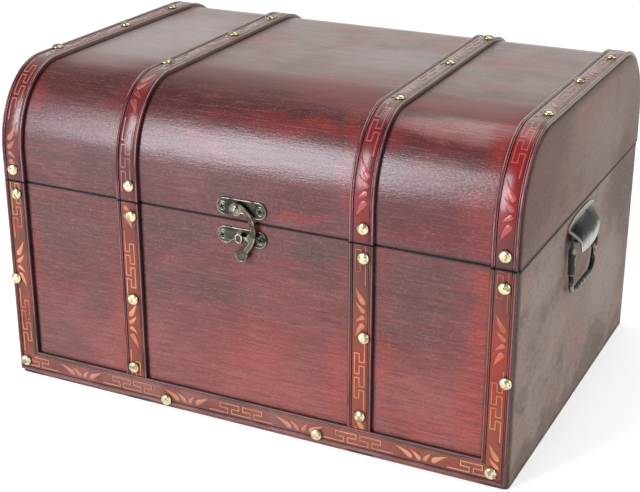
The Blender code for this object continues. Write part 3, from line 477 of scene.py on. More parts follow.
leafLook = {
    # tip, thick end, width
    "leaves": [((0.0, 4.4), (14.8, -3.4), 5.6), ((12.6, 4.0), (21.6, -3.8), 4.8),
               ((30.6, 4.0), (24.8, -3.6), 4.6), ((44.0, 4.3), (31.2, -3.0), 5.8)],
    "offKey": 60.8, "half": 0.52, "bow": 0.04, "brow": 0.68, "browReach": 0.80, "lift": 0.06,
    "ridge": 0.08, "steps": 9, "butt": 0.45, "swell": 4, "taper": 1.15, "point": 0.03,
}


def onFront(x):
    def place(along, across, out):
        return Vector((x + across * mm, -halfDepth - out * mm - gap, strapLook["top"] - along * mm))
    return place


def onBase(along, across, out):
    return Vector((along * mm, -halfDepth - out * mm - gap, strapLook["baseMiddle"] + across * mm))


lidWay = [Vector(p) for p in lidOutline(0.0, 60)]
lidTurns = []
lidRun = [0.0]
for a, b in zip(lidWay, lidWay[1:]):
    lidTurns.append((b - a).normalized())
    lidRun.append(lidRun[-1] + (b - a).length)
lidLength = lidRun[-1] / mm


def lidPoint(along):  # a point of the lid's outline and its outward normal, along in mm
    run = along * mm
    i = max(k for k in range(len(lidRun) - 1) if lidRun[k] <= run or k == 0)
    a, b = lidWay[i], lidWay[i + 1]
    t = (run - lidRun[i]) / (lidRun[i + 1] - lidRun[i])
    before, after = lidTurns[max(i - 1, 0)], lidTurns[min(i + 1, len(lidTurns) - 1)]
    way = (before * (0.5 * (1 - t)) + lidTurns[i] * 0.5 + after * (0.5 * t)).normalized()
    return a + (b - a) * t, square(way)


def onLid(x):
    def place(along, across, out):
        point, normal = lidPoint(along)
        lean = strapLean * (point.x / (2 * halfDepth) + 0.5) if x in middleStraps else 0.0
        spot = point + normal * (out * mm + gap)
        return Vector((x - lean + across * mm, spot.x, spot.y))
    return place


def flatStrap(start, end):
    section = strapLook["half"] + [(-u, h) for u, h in reversed(strapLook["half"])]
    bm = bmesh.new()
    hull(bm, [[bm.verts.new((v, u, h)) for u, h in section] for v in (start, end)])
    return bm


def split(bm, point, normal, keep=True):
    return bmesh.ops.bisect_plane(bm, geom=bm.verts[:] + bm.edges[:] + bm.faces[:], dist=1e-5,
                                  plane_co=point, plane_no=normal, clear_outer=not keep)


def cut(bm, point, normal):  # keeps what lies behind the plane, and closes it
    found = split(bm, point, normal, False)["geom_cut"]
    edges = [g for g in found if isinstance(g, bmesh.types.BMEdge)]
    if edges:
        bmesh.ops.holes_fill(bm, edges=edges, sides=0)


def lay(bm, place, step=None):
    if step:
        low = min(v.co.x for v in bm.verts)
        high = max(v.co.x for v in bm.verts)
        for i in range(int(low // step) + 1, int(high // step) + 1):
            split(bm, (i * step, 0, 0), (1, 0, 0))
    laid = bm.verts.layers.float_vector.new("laid")
    for v in bm.verts:
        v[laid] = v.co  # the finish reads where on the strap it is
        v.co = place(*v.co)
    return bm


def addRidge(bm, line, low, high, side):  # a raised line with bevelled sides
    points = [Vector((v, u * side)) for v, u in line]
    rings = []
    for i, point in enumerate(points):
        before = (point - points[i - 1]).normalized() if i else None
        after = (points[i + 1] - point).normalized() if i < len(points) - 1 else None
        way = ((before or after) + (after or before)).normalized()
        normal = square(way) * strapLook["line"] / max(way.dot(before or after), 0.3)
        rings.append([bm.verts.new((*(point + normal * reach), out)) for reach, out in (
            (0.5, low), (0.30, high), (-0.30, high), (-0.5, low))])
    hull(bm, rings)


def addLeaf(bm, tip, thick, width, low, high, side):
    look = leafLook
    tip, thick = Vector((tip[0], tip[1] * side)), Vector((thick[0], thick[1] * side))
    way = tip - thick
    normal = square(way.normalized())
    bend = look["bow"] * way.length * (1 if way.x * side > 0 else -1)
    brow, browReach = low + look["brow"] * (high - low), look["browReach"]
    rings = []
    for i in range(look["steps"] + 1):
        s = i / look["steps"]
        share = min(look["butt"] + look["swell"] * s, look["taper"] - look["taper"] * s)
        half = look["half"] * width * max(share, look["point"])
        middle = thick + way * s + normal * (bend * sin(pi * s))
        rings.append([bm.verts.new((*(middle + normal * (reach * half)), out)) for reach, out in (
            (1, low), (browReach, brow), (0, high + look["ridge"]), (-browReach, brow), (-1, low))])
    hull(bm, rings)


def ornament(starts, side, limits, way=1):
    # starts are where each key begins; way -1 runs the pattern backwards along the strap
    low = strapLook["field"] - strapLook["sink"]
    high = strapLook["field"] + strapLook["relief"]
    bm = bmesh.new()
    for start in starts:
        addRidge(bm, [(start + way * v, u) for v, u in keyLine], low, high, side)
        at = start + way * leafLook["offKey"]
        for tip, thick, width in leafLook["leaves"]:
            addLeaf(bm, (at + way * tip[0], tip[1]), (at + way * thick[0], thick[1]), width, low,
                    high + leafLook["lift"], side)
    bmesh.ops.recalc_face_normals(bm, faces=bm.faces)
    for point, normal in limits:
        cut(bm, point, normal)
    return bm


def strapFinish(name, look, onLid):
    strap, rise, over, noise, x, y, z = begun(name, look)
    side = abs(strap.laid()[1])

    def near(line, reach, core=0.15):  # 1 along a groove or rib of the border, 0 away from it
        return rise(abs(side - strapLook[line]), reach, core)

    fibre = noise(260.0, 4.0, 0.6)
    cloud = noise(36.0, 3.0, 0.55, 0.6)
    patch = noise(24.0, 2.0, 0.5, 0.6, shift=(3.3, 1.1, 6.4))
    field = over("field", ("worn", rise(cloud, 0.44, 0.64) * 0.6))
    border = over("border", ("ruddy", rise(patch, 0.46, 0.66) * 0.8))
    bright = "bright"
    if onLid:
        up = z + y + (cloud - 0.5) * 0.03
        crown = rise(up, 0.118, 0.175) * 0.88
        hot = blots(strap, x, up, "hot").least(0.8)
        field = over(field, ("hotTint", hot), ("crown", crown))
        border = over(border, ("hotTint", hot * 0.4), ("crown", crown))
        # paler painted highlights on the crown
        bright = over("bright", ("crownBright", crown))
    else:
        hot = blots(strap, x, z + (cloud - 0.5) * 0.04, "hot")
        # painted shade over the upper part of the straps, deeper towards the right
        shaded = rise(z, 0.112, 0.165) * (0.25 + 0.35 * rise(x, 0.0, 0.09))
        # the base strip has gone dusty in places
        foot = rise(z, 0.0225, 0.0195) * (0.10 + 0.32 * rise(patch, 0.42, 0.60))
        field = over(
            field, ("hotTint", hot.least(0.85) * (0.45 + 0.45 * rise(patch, 0.38, 0.62))),
            ("border", shaded), ("dusty", foot),
            # painted light over the lower part of the right straps
            ("worn", rise(z, 0.085, 0.050) * rise(x, 0.02, 0.09) * 0.6))
        border = over(border, ("hotTint", hot.least(0.8) * 0.35), ("dusty", foot))
    # painted shade in the grooves and on the strap's side walls, painted highlights along the crests and
    # ribs
    groove = near("inner", 0.5).most(near("outer", 0.45) * 0.8)
    wall = rise(side, 9.45, 9.95) * (0.62 if onLid else 1.0)
    crest = near("crest", 0.6) * rise(cloud, 0.34, 0.56)
    ribHighlight = near("rib", 0.3, 0.05) * rise(patch, 0.36, 0.60)
    # dark along the seam: painted shade in the gap
    seam = seamLine(strap, z, rise(x, 0.10, 0.225) * 0.0008, 0.0007, 0.0016, 0.0)
    colour = over(
        field, (border, rise(side, 6.5, 6.9)), ("dark", groove.most(wall) * 0.9),
        (bright, (crest * 0.55).most(ribHighlight * 0.75)), ("dark", rise(fibre, 0.54, 0.76) * 0.45),
        ("dark", seam * 0.95))
    return strap.set(Base_Color=colour, Roughness=look["gloss"] + 0.18 * fibre,
                     Normal=strap.bump(fibre, 0.00012, 0.5))


def reliefFinish(name, look, onLid):
    relief, rise, over, noise, x, y, z = begun(name, look)
    out = relief.laid()[2] - strapLook["field"]
    fibre = noise(300.0, 3.0, 0.6)
    cloud = noise(40.0, 3.0, 0.55, 0.5)
    colour = over(
        "relief", ("reliefPale", rise(cloud, 0.42, 0.62)), ("reliefDeep", rise(cloud, 0.48, 0.34) * 0.8))
    if onLid:
        colour = over(
            colour, ("reliefLeft", rise(x, -0.170, -0.190)),
            ("reliefRight", rise(x, 0.05, 0.09) * 0.8), ("reliefCrown", rise(z + y, 0.125, 0.165) * 0.85))
    else:
        redder = rise(x, 0.18, 0.20) * rise(z, 0.020, 0.050) * rise(cloud, 0.42, 0.56)
        footLeft = rise(z, 0.0215, 0.0175) * rise(x, 0.14, -0.05)
        # painted shade on the upper part of the relief, deeper to the right; painted light on its lower
        # right
        shaded = rise(z, 0.118, 0.166) * (0.30 + 0.40 * rise(x, 0.0, 0.09))
        lit = rise(z, 0.085, 0.050) * rise(x, 0.02, 0.09) * rise(z, 0.018, 0.024)
        colour = over(
            colour, ("reliefRight", redder * 0.8), ("reliefDeep", footLeft * 0.6), ("worn", shaded),
            ("reliefDusty", rise(z, 0.0225, 0.0195) * 0.35), ("reliefPale", lit * 0.6))
    # painted highlight along the edge of the relief
    rim = rise(abs(out - 0.30), 0.06, 0.02)
    colour = over(
        "dark", (colour, rise(out, 0.02, 0.26)), ("bright", rim * 0.45),
        ("dark", rise(fibre, 0.58, 0.80) * 0.35))
    return relief.set(Base_Color=colour, Roughness=look["gloss"] + 0.04 + 0.15 * fibre,
                      Normal=relief.bump(fibre, 0.0001, 0.4))


bodyStrapLook = paints(
    field=(107, 48, 36), worn=(136, 64, 46), border=(80, 40, 39), ruddy=(110, 42, 44),
    dark=(24, 11, 12), bright=(166, 108, 98), hotTint=(148, 42, 26), dusty=(152, 108, 104),
    relief=(186, 104, 72), reliefPale=(204, 134, 92), reliefDeep=(156, 70, 50),
    reliefRight=(180, 76, 48), reliefDusty=(204, 152, 134))
bodyStrapLook["gloss"] = 0.36
bodyStrapLook["hot"] = [(213.5, 85, 20, 75, 0.85), (102.5, 60, 12, 45, 0.6), (-102.5, 100, 12, 50, 0.4)]
lidStrapLook = paints(
    field=(80, 30, 33), worn=(108, 36, 38), border=(84, 30, 38), ruddy=(106, 32, 42),
    dark=(34, 11, 15), bright=(196, 132, 130), hotTint=(134, 18, 18), crown=(146, 122, 114),
    crownBright=(206, 186, 172), relief=(142, 66, 60), reliefPale=(168, 96, 88),
    reliefDeep=(108, 42, 40), reliefLeft=(170, 90, 68), reliefRight=(178, 60, 66),
    reliefCrown=(168, 142, 130))
lidStrapLook["gloss"] = 0.15
lidStrapLook["hot"] = [(213.5, 105, 20, 55, 1.1), (102.5, 60, 12, 50, 0.5), (-102.5, 115, 12, 30, 0.4)]
frontStrapWood = strapFinish("frontStrapWood", bodyStrapLook, False)
lidStrapWood = strapFinish("lidStrapWood", lidStrapLook, True)
frontRelief = reliefFinish("frontRelief", bodyStrapLook, False)
lidRelief = reliefFinish("lidRelief", lidStrapLook, True)

period, clear = strapLook["period"], strapLook["clear"]
strapDown = (strapLook["top"] - baseHigh.z) / mm - strapLook["footGap"]  # a middle strap's length
mitre = (strapLook["top"] - strapLook["baseMiddle"]) / mm - strapLook["mitreGap"]
for i, x in enumerate(strapX, 1):
    side = 1 if i < 3 else -1
    key = strapLook["frontKeys"][i - 1]
    ends = [((clear["front"], 0, 0), (-1, 0, 0))]
    if x in middleStraps:
        bm = flatStrap(-strapLook["overTop"], strapDown)
        ends.append(((strapDown - clear["front"], 0, 0), (1, 0, 0)))
    else:
        bm = flatStrap(-strapLook["overTop"], mitre + 11)
        slant = Vector((1, side, 0)).normalized()
        cut(bm, (mitre, 0, 0), slant)
        ends.append(((mitre - clear["mitre"], 0, 0), slant))
    solid("frontStrap%d" % i, lay(bm, onFront(x)), frontStrapWood, "body",
          ["front_strap_%d" % i])
    starts = [key - period, key, key + period][:3 if i < 3 else 2]
    solid("frontPattern%d" % i, lay(ornament(starts, side, ends), onFront(x)),
          frontRelief, "body")

    bm = flatStrap(strapLook["lidStart"], lidLength - strapLook["lidEnd"])
    solid("lidStrap%d" % i, lay(bm, onLid(x), strapLook["laidStep"]), lidStrapWood, "lid",
          ["lid_strap_%d" % i])
    starts = [strapLook["lidKeys"][i - 1] + period * k for k in range(4)]
    ends = [((clear["lid"], 0, 0), (-1, 0, 0)), ((lidLength - clear["lid"], 0, 0), (1, 0, 0))]
    bm = lay(ornament(starts, side, ends, way=-1), onLid(x), strapLook["laidStep"])
    solid("lidPattern%d" % i, bm, lidRelief, "lid")

halfBase = halfLength / mm
bm = flatStrap(1.5 - halfBase, halfBase - 1.5)
reach = halfBase - 11.5
slants = [(way, Vector((way, 1, 0)).normalized()) for way in (-1, 1)]
for way, slant in slants:
    cut(bm, (way * reach, 0, 0), slant)
solid("baseStrip", lay(bm, onBase), frontStrapWood, "body", ["base_strip"])
ends = [((way * (reach - clear["base"]), 0, 0), slant) for way, slant in slants]
bm = ornament(strapLook["baseKeys"], 1, ends)
solid("basePattern", lay(bm, onBase), frontRelief, "body")
print("straps done")


# Lid boards
lidLook = {"edge": 0.9 * mm, "rim": 1.5 * mm, "rimSteps": 4}


def easedOutline(inset=0.0):
    line = lidOutline(inset)
    ease = lidLook["edge"]
    (y0, z0), (y1, z1) = line[0], line[-1]
    return [(y0 + ease, z0), (y0 + ease * 0.3, z0 + ease * 0.3), (y0, z0 + ease)] + line[1:-1] + [
        (y1, z1 + ease), (y1 - ease * 0.3, z1 + ease * 0.3), (y1 - ease, z1)]


reach = halfLength - chest["board"] - gap
skin = bmesh.new()
lines = (easedOutline(), lidOutline(chest["skin"]))
rings = [[[skin.verts.new((x, y, z)) for y, z in line] for line in lines] for x in (-reach, reach)]
for k in (0, 1):
    join(skin, rings[0][k], rings[1][k], k)
for k in (0, -1):
    skin.faces.new((rings[0][0][k], rings[1][0][k], rings[1][1][k], rings[0][1][k]))
for out, inn in rings:
    # end faces between the outer and the inner line, paired off by share of the way
    i = j = 0
    while i < len(out) - 1 or j < len(inn) - 1:
        if j == len(inn) - 1 or (i < len(out) - 1 and i / (len(out) - 1) <= j / (len(inn) - 1)):
            skin.faces.new((out[i], out[i + 1], inn[j]))
            i += 1
        else:
            skin.faces.new((out[i], inn[j + 1], inn[j]))
            j += 1
solid("lidSkin", skin, cherryLid, "lid", ["lid_skin"], second=insideWood)

for side, node, name in ((-1, "lid_left_end", "lidEndLeft"), (1, "lid_right_end", "lidEndRight")):
    outerX, rim = side * halfLength, lidLook["rim"]
    stations = [(outerX - side * chest["board"], 0.0)]
    for k in range(lidLook["rimSteps"] + 1):
        turn = pi / 2 * k / lidLook["rimSteps"]
        stations.append((outerX - side * rim * (1 - sin(turn)), rim * (1 - cos(turn))))
    bm = bmesh.new()
    rings = []
    for x, inset in stations:
        ring = []
        for (y, z), (lowY, lowZ) in zip(easedOutline(inset), easedOutline(inset * 0.25)):
            if lowZ < seamZ + 2 * mm:  # the rounding dies away at the seam
                y = lowY
            ring.insert(0, bm.verts.new((x, y, z)))
        rings.append(ring)
    hull(bm, rings)[0].material_index = 1
    solid(name, bm, brownLidEnd, "lid", [node], second=insideWood)
print("lid done")


# Nails
nailLook = paints(colour=(222, 210, 172), dull=(208, 197, 166), dark=(112, 100, 66))
nailLook.update({"dome": 2.8 * mm, "radius": 4.9 * mm, "rim": 0.45 * mm, "steps": 36, "rings": 9,
                 "shank": [(1.0 * mm, 0.0), (1.0 * mm, -5.6 * mm), (0.2 * mm, -6.4 * mm)]})


def brassFinish(name, colour, dulling):
    brass = Finish(name, nailLook)
    rise, noise = brass.rise, brass.noise
    speck = noise(520.0, 3.0, 0.6)
    smear = noise(120.0, 2.0)
    patch = noise(210.0, 2.0, 0.5, 0.8, shift=(1.7, 0.3, 4.4))
    shade = brass.over(
        colour, ("dark", rise(patch, 0.50, 0.62) * dulling), ("dark", rise(speck, 0.58, 0.72) * 0.5))
    return brass.set(Base_Color=shade, Metallic=1.0, Roughness=0.16 + 0.20 * smear,
                     Normal=brass.bump(smear, 0.0009, 0.45))


nailBrass = brassFinish("nailBrass", "colour", 0.75)
nailBrassDull = brassFinish("nailBrassDull", "dull", 0.8)


def nailPlace(name):  # the foot of the head and the way out, off the CAD nail
    spots = np.array([v.co for v in nodes[name].data.vertices])
    middle = spots.mean(0)
    values, ways = np.linalg.eigh(np.cov((spots - middle).T))
    odd = 0 if values[1] - values[0] > values[2] - values[1] else 2
    way = ways[:, odd]
    along = (spots - middle) @ way
    apart = np.linalg.norm(spots - middle - np.outer(along, way), axis=1)
    head = along[apart > 0.9 * apart.max()].mean()
    if head < along[apart < 0.3 * apart.max()].mean():
        way, along = -way, -along
    return Vector(middle + way * (along.max() - nailLook["dome"])), Vector(way)


domeHigh, domeRadius = nailLook["dome"] - nailLook["rim"], nailLook["radius"]
nailProfile = [(0, nailLook["dome"])]
for k in range(1, nailLook["rings"] + 1):
    turn = pi / 2 * k / nailLook["rings"]
    nailProfile.append((domeRadius * sin(turn), nailLook["rim"] + domeHigh * cos(turn)))
nailProfile += [(domeRadius * 0.985, nailLook["rim"] * 0.4), (domeRadius * 0.95, 0.0)] + nailLook["shank"]
bodyOf = {member: body for body, members in frame["record"]["behaviour"]["bodies"].items()
          for member in members}
for name in sorted(n for n in nodes if n.startswith("nail")):
    foot, out = nailPlace(name)
    seat = Matrix.Translation(foot) @ out.to_track_quat("Z", "Y").to_matrix().to_4x4()
    bm = bmesh.new()
    turnedPiece(bm, nailProfile, lambda x, y, z: seat @ Vector((x, y, z)), nailLook["steps"])
    brass = nailBrassDull if name.startswith("nail_lid") and not name.endswith("front") else nailBrass
    words = name.split("_")
    solid(words[0] + "".join(word.capitalize() for word in words[1:]), bm, brass, bodyOf[name], [name],
          50)
print("nails done")


# Metal
bronzeDeep = paints(deep=(22, 21, 19))["deep"]  # the grime in every hollow


def bronzeFinish(name, look, rough=0.26, patina=(0.40, 0.62), sink=0.9):
    metal = Finish(name, {"deep": bronzeDeep, **look})
    rise, noise = metal.rise, metal.noise
    cloud = noise(150.0, 3.0, 0.55, 0.5)
    speck = noise(900.0, 2.0, 0.6)
    edge = metal.node("ShaderNodeNewGeometry", {}, {}, 7)
    rubbed = rise(edge, 0.506, 0.556) * rise(cloud, 0.34, 0.58)
    shade = metal.over(
        "dark", ("colour", rise(cloud, *patina)), ("dark", rise(speck, 0.58, 0.74) * 0.6),
        ("bright", rubbed * 0.6), ("deep", rise(edge, 0.495, 0.455) * sink))
    return metal.set(Base_Color=shade, Metallic=1.0, Roughness=rough + 0.2 * cloud,
                     Normal=metal.bump(cloud, 0.0003, 0.3))


bronzes = {
    "latchBronze": (paints(colour=(98, 100, 90), dark=(62, 62, 56), bright=(176, 168, 150)),),
    "hookBronze": (paints(colour=(108, 100, 88), dark=(76, 70, 60), bright=(196, 186, 168)), 0.26,
                   (0.40, 0.62), 0.15),
    "studBrass": (paints(colour=(150, 142, 112), dark=(92, 84, 60), bright=(226, 218, 196)), 0.2,
                  (0.34, 0.56)),
    # the screws' cross recesses: grime with painted shade
    "slotGrime": (paints(colour=(26, 24, 22), dark=(14, 13, 12), bright=(48, 46, 42)),),
    "hingeBronze": (paints(colour=(96, 94, 80), dark=(56, 54, 46), bright=(190, 182, 160)),),
}
latchBronze, hookBronze, studBrass, slotGrime, hingeBronze = (
    bronzeFinish(name, *settings) for name, settings in bronzes.items())


def inward(outline, inset):  # the outline drawn in by a small step, for an outline run anticlockwise
    spots = []
    count = len(outline)
    for i in range(count):
        before, here, after = (Vector(outline[(i + k) % count]) for k in (-1, 0, 1))
        one, two = (here - before).normalized(), (after - here).normalized()
        way = (one + two).normalized()
        spots.append(here + square(way) * inset / max(way.dot(one), 0.5))
    return spots


def pressed(bm, outline, steps, place, hole=None):
    # a flat piece built up ring by ring: (how far in, how high), the last ring closed over
    if sum(a[0] * b[1] - b[0] * a[1] for a, b in zip(outline, outline[1:] + outline[:1])) < 0:
        outline = outline[::-1]
    rings = []
    for inset, height in steps:
        rings.append([bm.verts.new(place(x, y, height)) for x, y in inward(outline, inset)])
    hull(bm, rings, hole is None)
    if hole is None:
        return
    ends = []
    for ring, height in ((rings[0], steps[0][1]), (rings[-1], steps[-1][1])):
        bore = [bm.verts.new(place(x, y, height)) for x, y in hole]
        edges = [bm.edges.get((a, b)) for a, b in zip(ring, ring[1:] + ring[:1])]
        edges += [bm.edges.new((a, b)) for a, b in zip(bore, bore[1:] + bore[:1])]
        bmesh.ops.triangle_fill(bm, edges=edges, use_beauty=True)
        ends.append(bore)
    hull(bm, ends, False)


screwLook = {
    "radius": 3.0, "base": 1.1, "head": 2.25, "fall": 0.35, "sink": 0.8, "well": 0.2,
    "slot": 0.15, "slotLong": 0.60, "slotHub": 0.30, "segments": 56,
    "rings": [0.13, 0.24, 0.34, 0.46, 0.58, 0.68, 0.72, 0.80, 0.90, 0.97, 1.0],
    "seat": [(3.9, 1.1), (3.85, 1.36), (3.6, 1.46), (3.35, 1.36), (3.2, 1.2), (3.1, 1.0)],
}


def screwHead(bm, place, slotTurn):  # domed, with a cross sunk in it
    look = screwLook
    radius, base, high = look["radius"], look["base"], look["head"] - look["base"]
    rings, sunk = [], set()
    for stop in look["rings"]:
        ring = []
        for i in range(look["segments"]):
            turn = 2 * pi * i / look["segments"]
            x, y = stop * cos(turn), stop * sin(turn)
            u = abs(x * cos(slotTurn) + y * sin(slotTurn))
            v = abs(y * cos(slotTurn) - x * sin(slotTurn))
            height = base + high * (1 - look["fall"] * stop ** 2)
            low = (min(u, v) < look["slot"] and max(u, v) < look["slotLong"]) or stop < look["slotHub"]
            if low:
                height -= look["sink"] * high
            if stop == 1.0:
                height = base
            ring.append(bm.verts.new(place(x * radius, y * radius, height)))
            if low:
                sunk.add(ring[-1])
        rings.append(ring)
    middle = bm.verts.new(place(0, 0, base + look["well"] * high))
    # faces sunk in the cross take the second finish, grime with painted shade
    for i in range(look["segments"]):
        j = (i + 1) % look["segments"]
        bm.faces.new((middle, rings[0][i], rings[0][j])).material_index = 1
        for a, b in zip(rings, rings[1:]):
            face = bm.faces.new((a[i], b[i], b[j], a[j]))
            face.material_index = 1 if sunk.issuperset(face.verts) else 0


latchLook = {
    "side": 0.8, "thick": 1.5, "span": 29.0, "lobe": 7.1, "waist": -3.1, "fillet": 4.0,
    "plateRise": 10.4, "keeperDrop": 12.9, "screwApart": 33.0, "screwTurns": (0.35, 1.15),
    "studOffset": 3.0, "boss": 4.2, "bossHigh": 1.2, "rivet": 2.3, "rivetHigh": 1.7, "washer": 2.9,
    "hookThick": 2.4, "eye": 5.3, "sweep": 22.2, "sweepDrop": 0.765, "arm": 4.3, "tabWide": 9.2,
    "tabLong": 8.5, "bore": 2.5, "play": 0.3, "fingerHalf": 1.5, "fingerLeft": -3.14, "stapleSide": -0.9,
    "stapleTall": 4.3, "stapleWide": 3.2, "stapleCorner": 2.0, "legUp": 3.45, "legHalf": 0.8,
    # how far in and how high, ring by ring
    "rim": [(0.2, 0.05), (0.0, 0.3), (0.0, 1.0), (0.15, 1.35), (0.5, 1.5), (0.85, 1.42), (1.1, 1.12)],
    "hookRim": [(0.3, 0.0), (0.0, 0.3), (0.0, 1.8), (0.2, 2.2), (0.55, 2.4), (0.9, 2.3), (1.15, 2.08)],
    "fingerRim": [(0.2, -0.65), (0.0, -0.5), (0.0, 0.55), (0.25, 0.7)],
    "stapleRim": [(0.1, 0.0), (0.0, 0.2), (0.0, 0.9), (0.35, 1.4), (0.75, 1.5), (1.1, 1.4), (1.5, 1.0)],
}
latchFoot = -halfDepth - gap
hookBack = latchLook["thick"] + latchLook["bossHigh"] + latchLook["play"]  # out from the board, in mm
plateZ = seamZ + latchLook["plateRise"] * mm
keeperZ = chest["bodyTop"] - latchLook["keeperDrop"] * mm
pivotX = (latchLook["side"] - latchLook["studOffset"]) * mm


def onBoard(x, z):
    def place(across, up, out):
        return Vector((x + across * mm, latchFoot - out * mm, z + up * mm))
    return place


def lobedPlate():
    look = latchLook
    half, fillet = look["span"] / 2, look["fillet"]
    drop = look["waist"] - fillet
    along = sqrt((look["lobe"] + fillet) ** 2 - drop ** 2)
    meet = degrees(atan2(drop, -along))
    right = arc((half, 0), look["lobe"], 90, meet, 40)
    right += arc((half - along, drop), fillet, meet + 180, 90, 8)[1:]
    return right + [(-a, b) for a, b in reversed(right)][1:]


def platePiece(z):
    look = latchLook
    bm = bmesh.new()
    pressed(bm, lobedPlate(), look["rim"], onBoard(look["side"] * mm, z))
    for side, turn in zip((-1, 1), look["screwTurns"]):
        spot = onBoard((look["side"] + side * look["screwApart"] / 2) * mm, z)
        turnedPiece(bm, screwLook["seat"], spot, 40)
        screwHead(bm, spot, turn)
    return bm


def hookOutline():
    look = latchLook
    sweep, wide = look["sweep"], look["tabWide"]
    inner, outer = sweep - look["arm"] / 2, sweep + look["arm"] / 2
    centre = (-sweep / 3, -sweep * look["sweepDrop"])
    line = arc(centre, outer, 61, -43, 36)
    heelX, heelY = line[-1]
    low, left = heelY - look["tabLong"], heelX - wide
    # the tab at the lower end: share of its width, then how far above its foot or below the heel
    line += [(left + wide * share, low + up) for share, up in (
        (0.80, 1.6), (0.62, 0), (0.46, -0.7), (0.24, -0.7), (0.08, -0.1), (-0.12, 1.6))]
    line += [(left - wide * share, heelY - down) for share, down in (
        (0.30, 3.6), (0.34, 2.6), (0.32, 1.7), (0.20, 1.3))]
    line += arc(centre, inner, -54, -25, 10)
    # a small hollow inside the sweep
    line += [(heelX + across, centre[1] - down) for across, down in (
        (-0.5, 6.5), (-1.3, 4.9), (-1.1, 3.5), (0.6, 1.5))]
    line += arc(centre, inner, 3, 45, 16)
    return line + arc((0, 0), look["eye"], -31, -286, 44)


def boxed(left, low, right, top):
    return [(left, low), (right, low), (right, top), (left, top)]


look = latchLook
stud = onBoard(pivotX, plateZ)
bm = platePiece(plateZ)
bossTop, boss = look["thick"] + look["bossHigh"], look["boss"]
turnedPiece(bm, [(boss - 0.3, bossTop), (boss, bossTop - 0.3), (boss, 0.8)], stud)
solid("latchPlate", bm, latchBronze, "lid", ["latch_plate"], 40, slotGrime)
bm = bmesh.new()
front = hookBack + look["hookThick"] + look["play"]
rivet, washer, shaft = look["rivet"], look["washer"], look["bore"] - 0.4
profile = [(0, front + look["rivetHigh"])]
profile += [(rivet * wide, front + look["rivetHigh"] * high)
            for wide, high in ((0.35, 0.95), (0.68, 0.75), (0.92, 0.4))]
profile += [(rivet, front + 0.35), (washer - 0.3, front + 0.3), (washer, front + 0.1),
            (washer, front - 0.2), (shaft, front - 0.2), (shaft, look["thick"] + 0.4)]
turnedPiece(bm, profile, stud)
solid("latchStud", bm, studBrass, "lid", sharp=40)

bm = bmesh.new()
pressed(bm, hookOutline(), [(a, hookBack + b) for a, b in look["hookRim"]], stud,
        arc((0, 0), look["bore"], 0, 360 * 27 / 28, 27))
# the finger that reaches under the staple
fingerZ, half = (keeperZ - plateZ) / mm, look["fingerHalf"]
fingerLeft = look["side"] + look["fingerLeft"] - pivotX / mm
fingerRight = look["sweep"] * 2 / 3 - look["arm"] / 2 + 0.6
pressed(bm, boxed(fingerLeft, fingerZ - half, fingerRight, fingerZ + half),
        [(a, hookBack + b) for a, b in look["fingerRim"]], stud)
solid("swingHook", bm, hookBronze, "hook", ["swing_hook"], 40)

solid("keeperPlate", platePiece(keeperZ), latchBronze, "body", ["keeper_plate"], 40,
      slotGrime)
# the staple: two legs under a six-sided bridge with blunt points
bm = bmesh.new()
spot = onBoard((look["side"] + look["stapleSide"]) * mm, keeperZ)
bridgeBack = hookBack + 0.7 + look["play"]
tall, wide, corner = look["stapleTall"], look["stapleWide"], look["stapleTall"] - look["stapleCorner"]
bridge = [(-wide, -corner), (-wide * 0.15, -tall), (wide * 0.15, -tall), (wide, -corner),
          (wide, corner), (wide * 0.15, tall), (-wide * 0.15, tall), (-wide, corner)]
pressed(bm, bridge, [(a, bridgeBack + b) for a, b in look["stapleRim"]], spot)
for side in (-1, 1):
    middle = side * look["legUp"]
    pressed(bm, boxed(-wide * 0.55, middle - look["legHalf"], wide * 0.55, middle + look["legHalf"]),
            [(0.0, 1.0), (0.0, bridgeBack + 0.2)], spot)
solid("keeperStaple", bm, studBrass, "body", sharp=30)
dress(hingeBronze, "hinge_leaf_body_1", "hinge_leaf_body_2", "hinge_leaf_lid_1", "hinge_leaf_lid_2",
      "hinge_pin_1", "hinge_pin_2")
print("latch done")


# Handles, drawn at the right wall: out of it, along it towards the back, and down from the hood's top
handleLook = paints(metal=(118, 120, 111), dark=(22, 23, 20), bright=(222, 220, 206))
handleLook.update({
    "side": -0.014, "drop": 3.4, "hoodTall": 29.0, "hoodTop": 70.0, "hoodLow": 41.0, "sheet": 1.4,
    "bulge": 10.8, "corner": 6.0, "flange": 4.5, "sag": 0.02, "swell": 1.7, "swellCurve": 1.2,
    "taper": 1.1, "sideDip": 0.16, "rimThin": 0.72, "wide": 32, "tall": 40,
    "axleDrop": 18.0, "axleReach": 4.6, "earApart": 40.0, "earThick": 3.0, "ear": 3.6, "stub": 1.5,
    "bailTop": 70.0, "bailDrop": 44.5, "bailLow": 63.0, "bailTurn": 3.5, "bailCorner": 10.0,
    "bail": 2.1, "grip": 3.0, "gripLong": 21.0,
    "plateRim": [(0.2, 0.0), (0.0, 0.2), (0.0, 0.8), (0.35, 1.2)],
    "earRim": [(0.35, -1.5), (0.0, -1.15), (0.0, 1.15), (0.35, 1.5)],
})
handleTop = chest["bodyTop"] - handleLook["drop"] * mm


def atWall(side):
    def place(out, along, up):
        return Vector((side * (halfLength + gap + out * mm),
                       handleLook["side"] + side * along * mm, handleTop + up * mm))
    return place


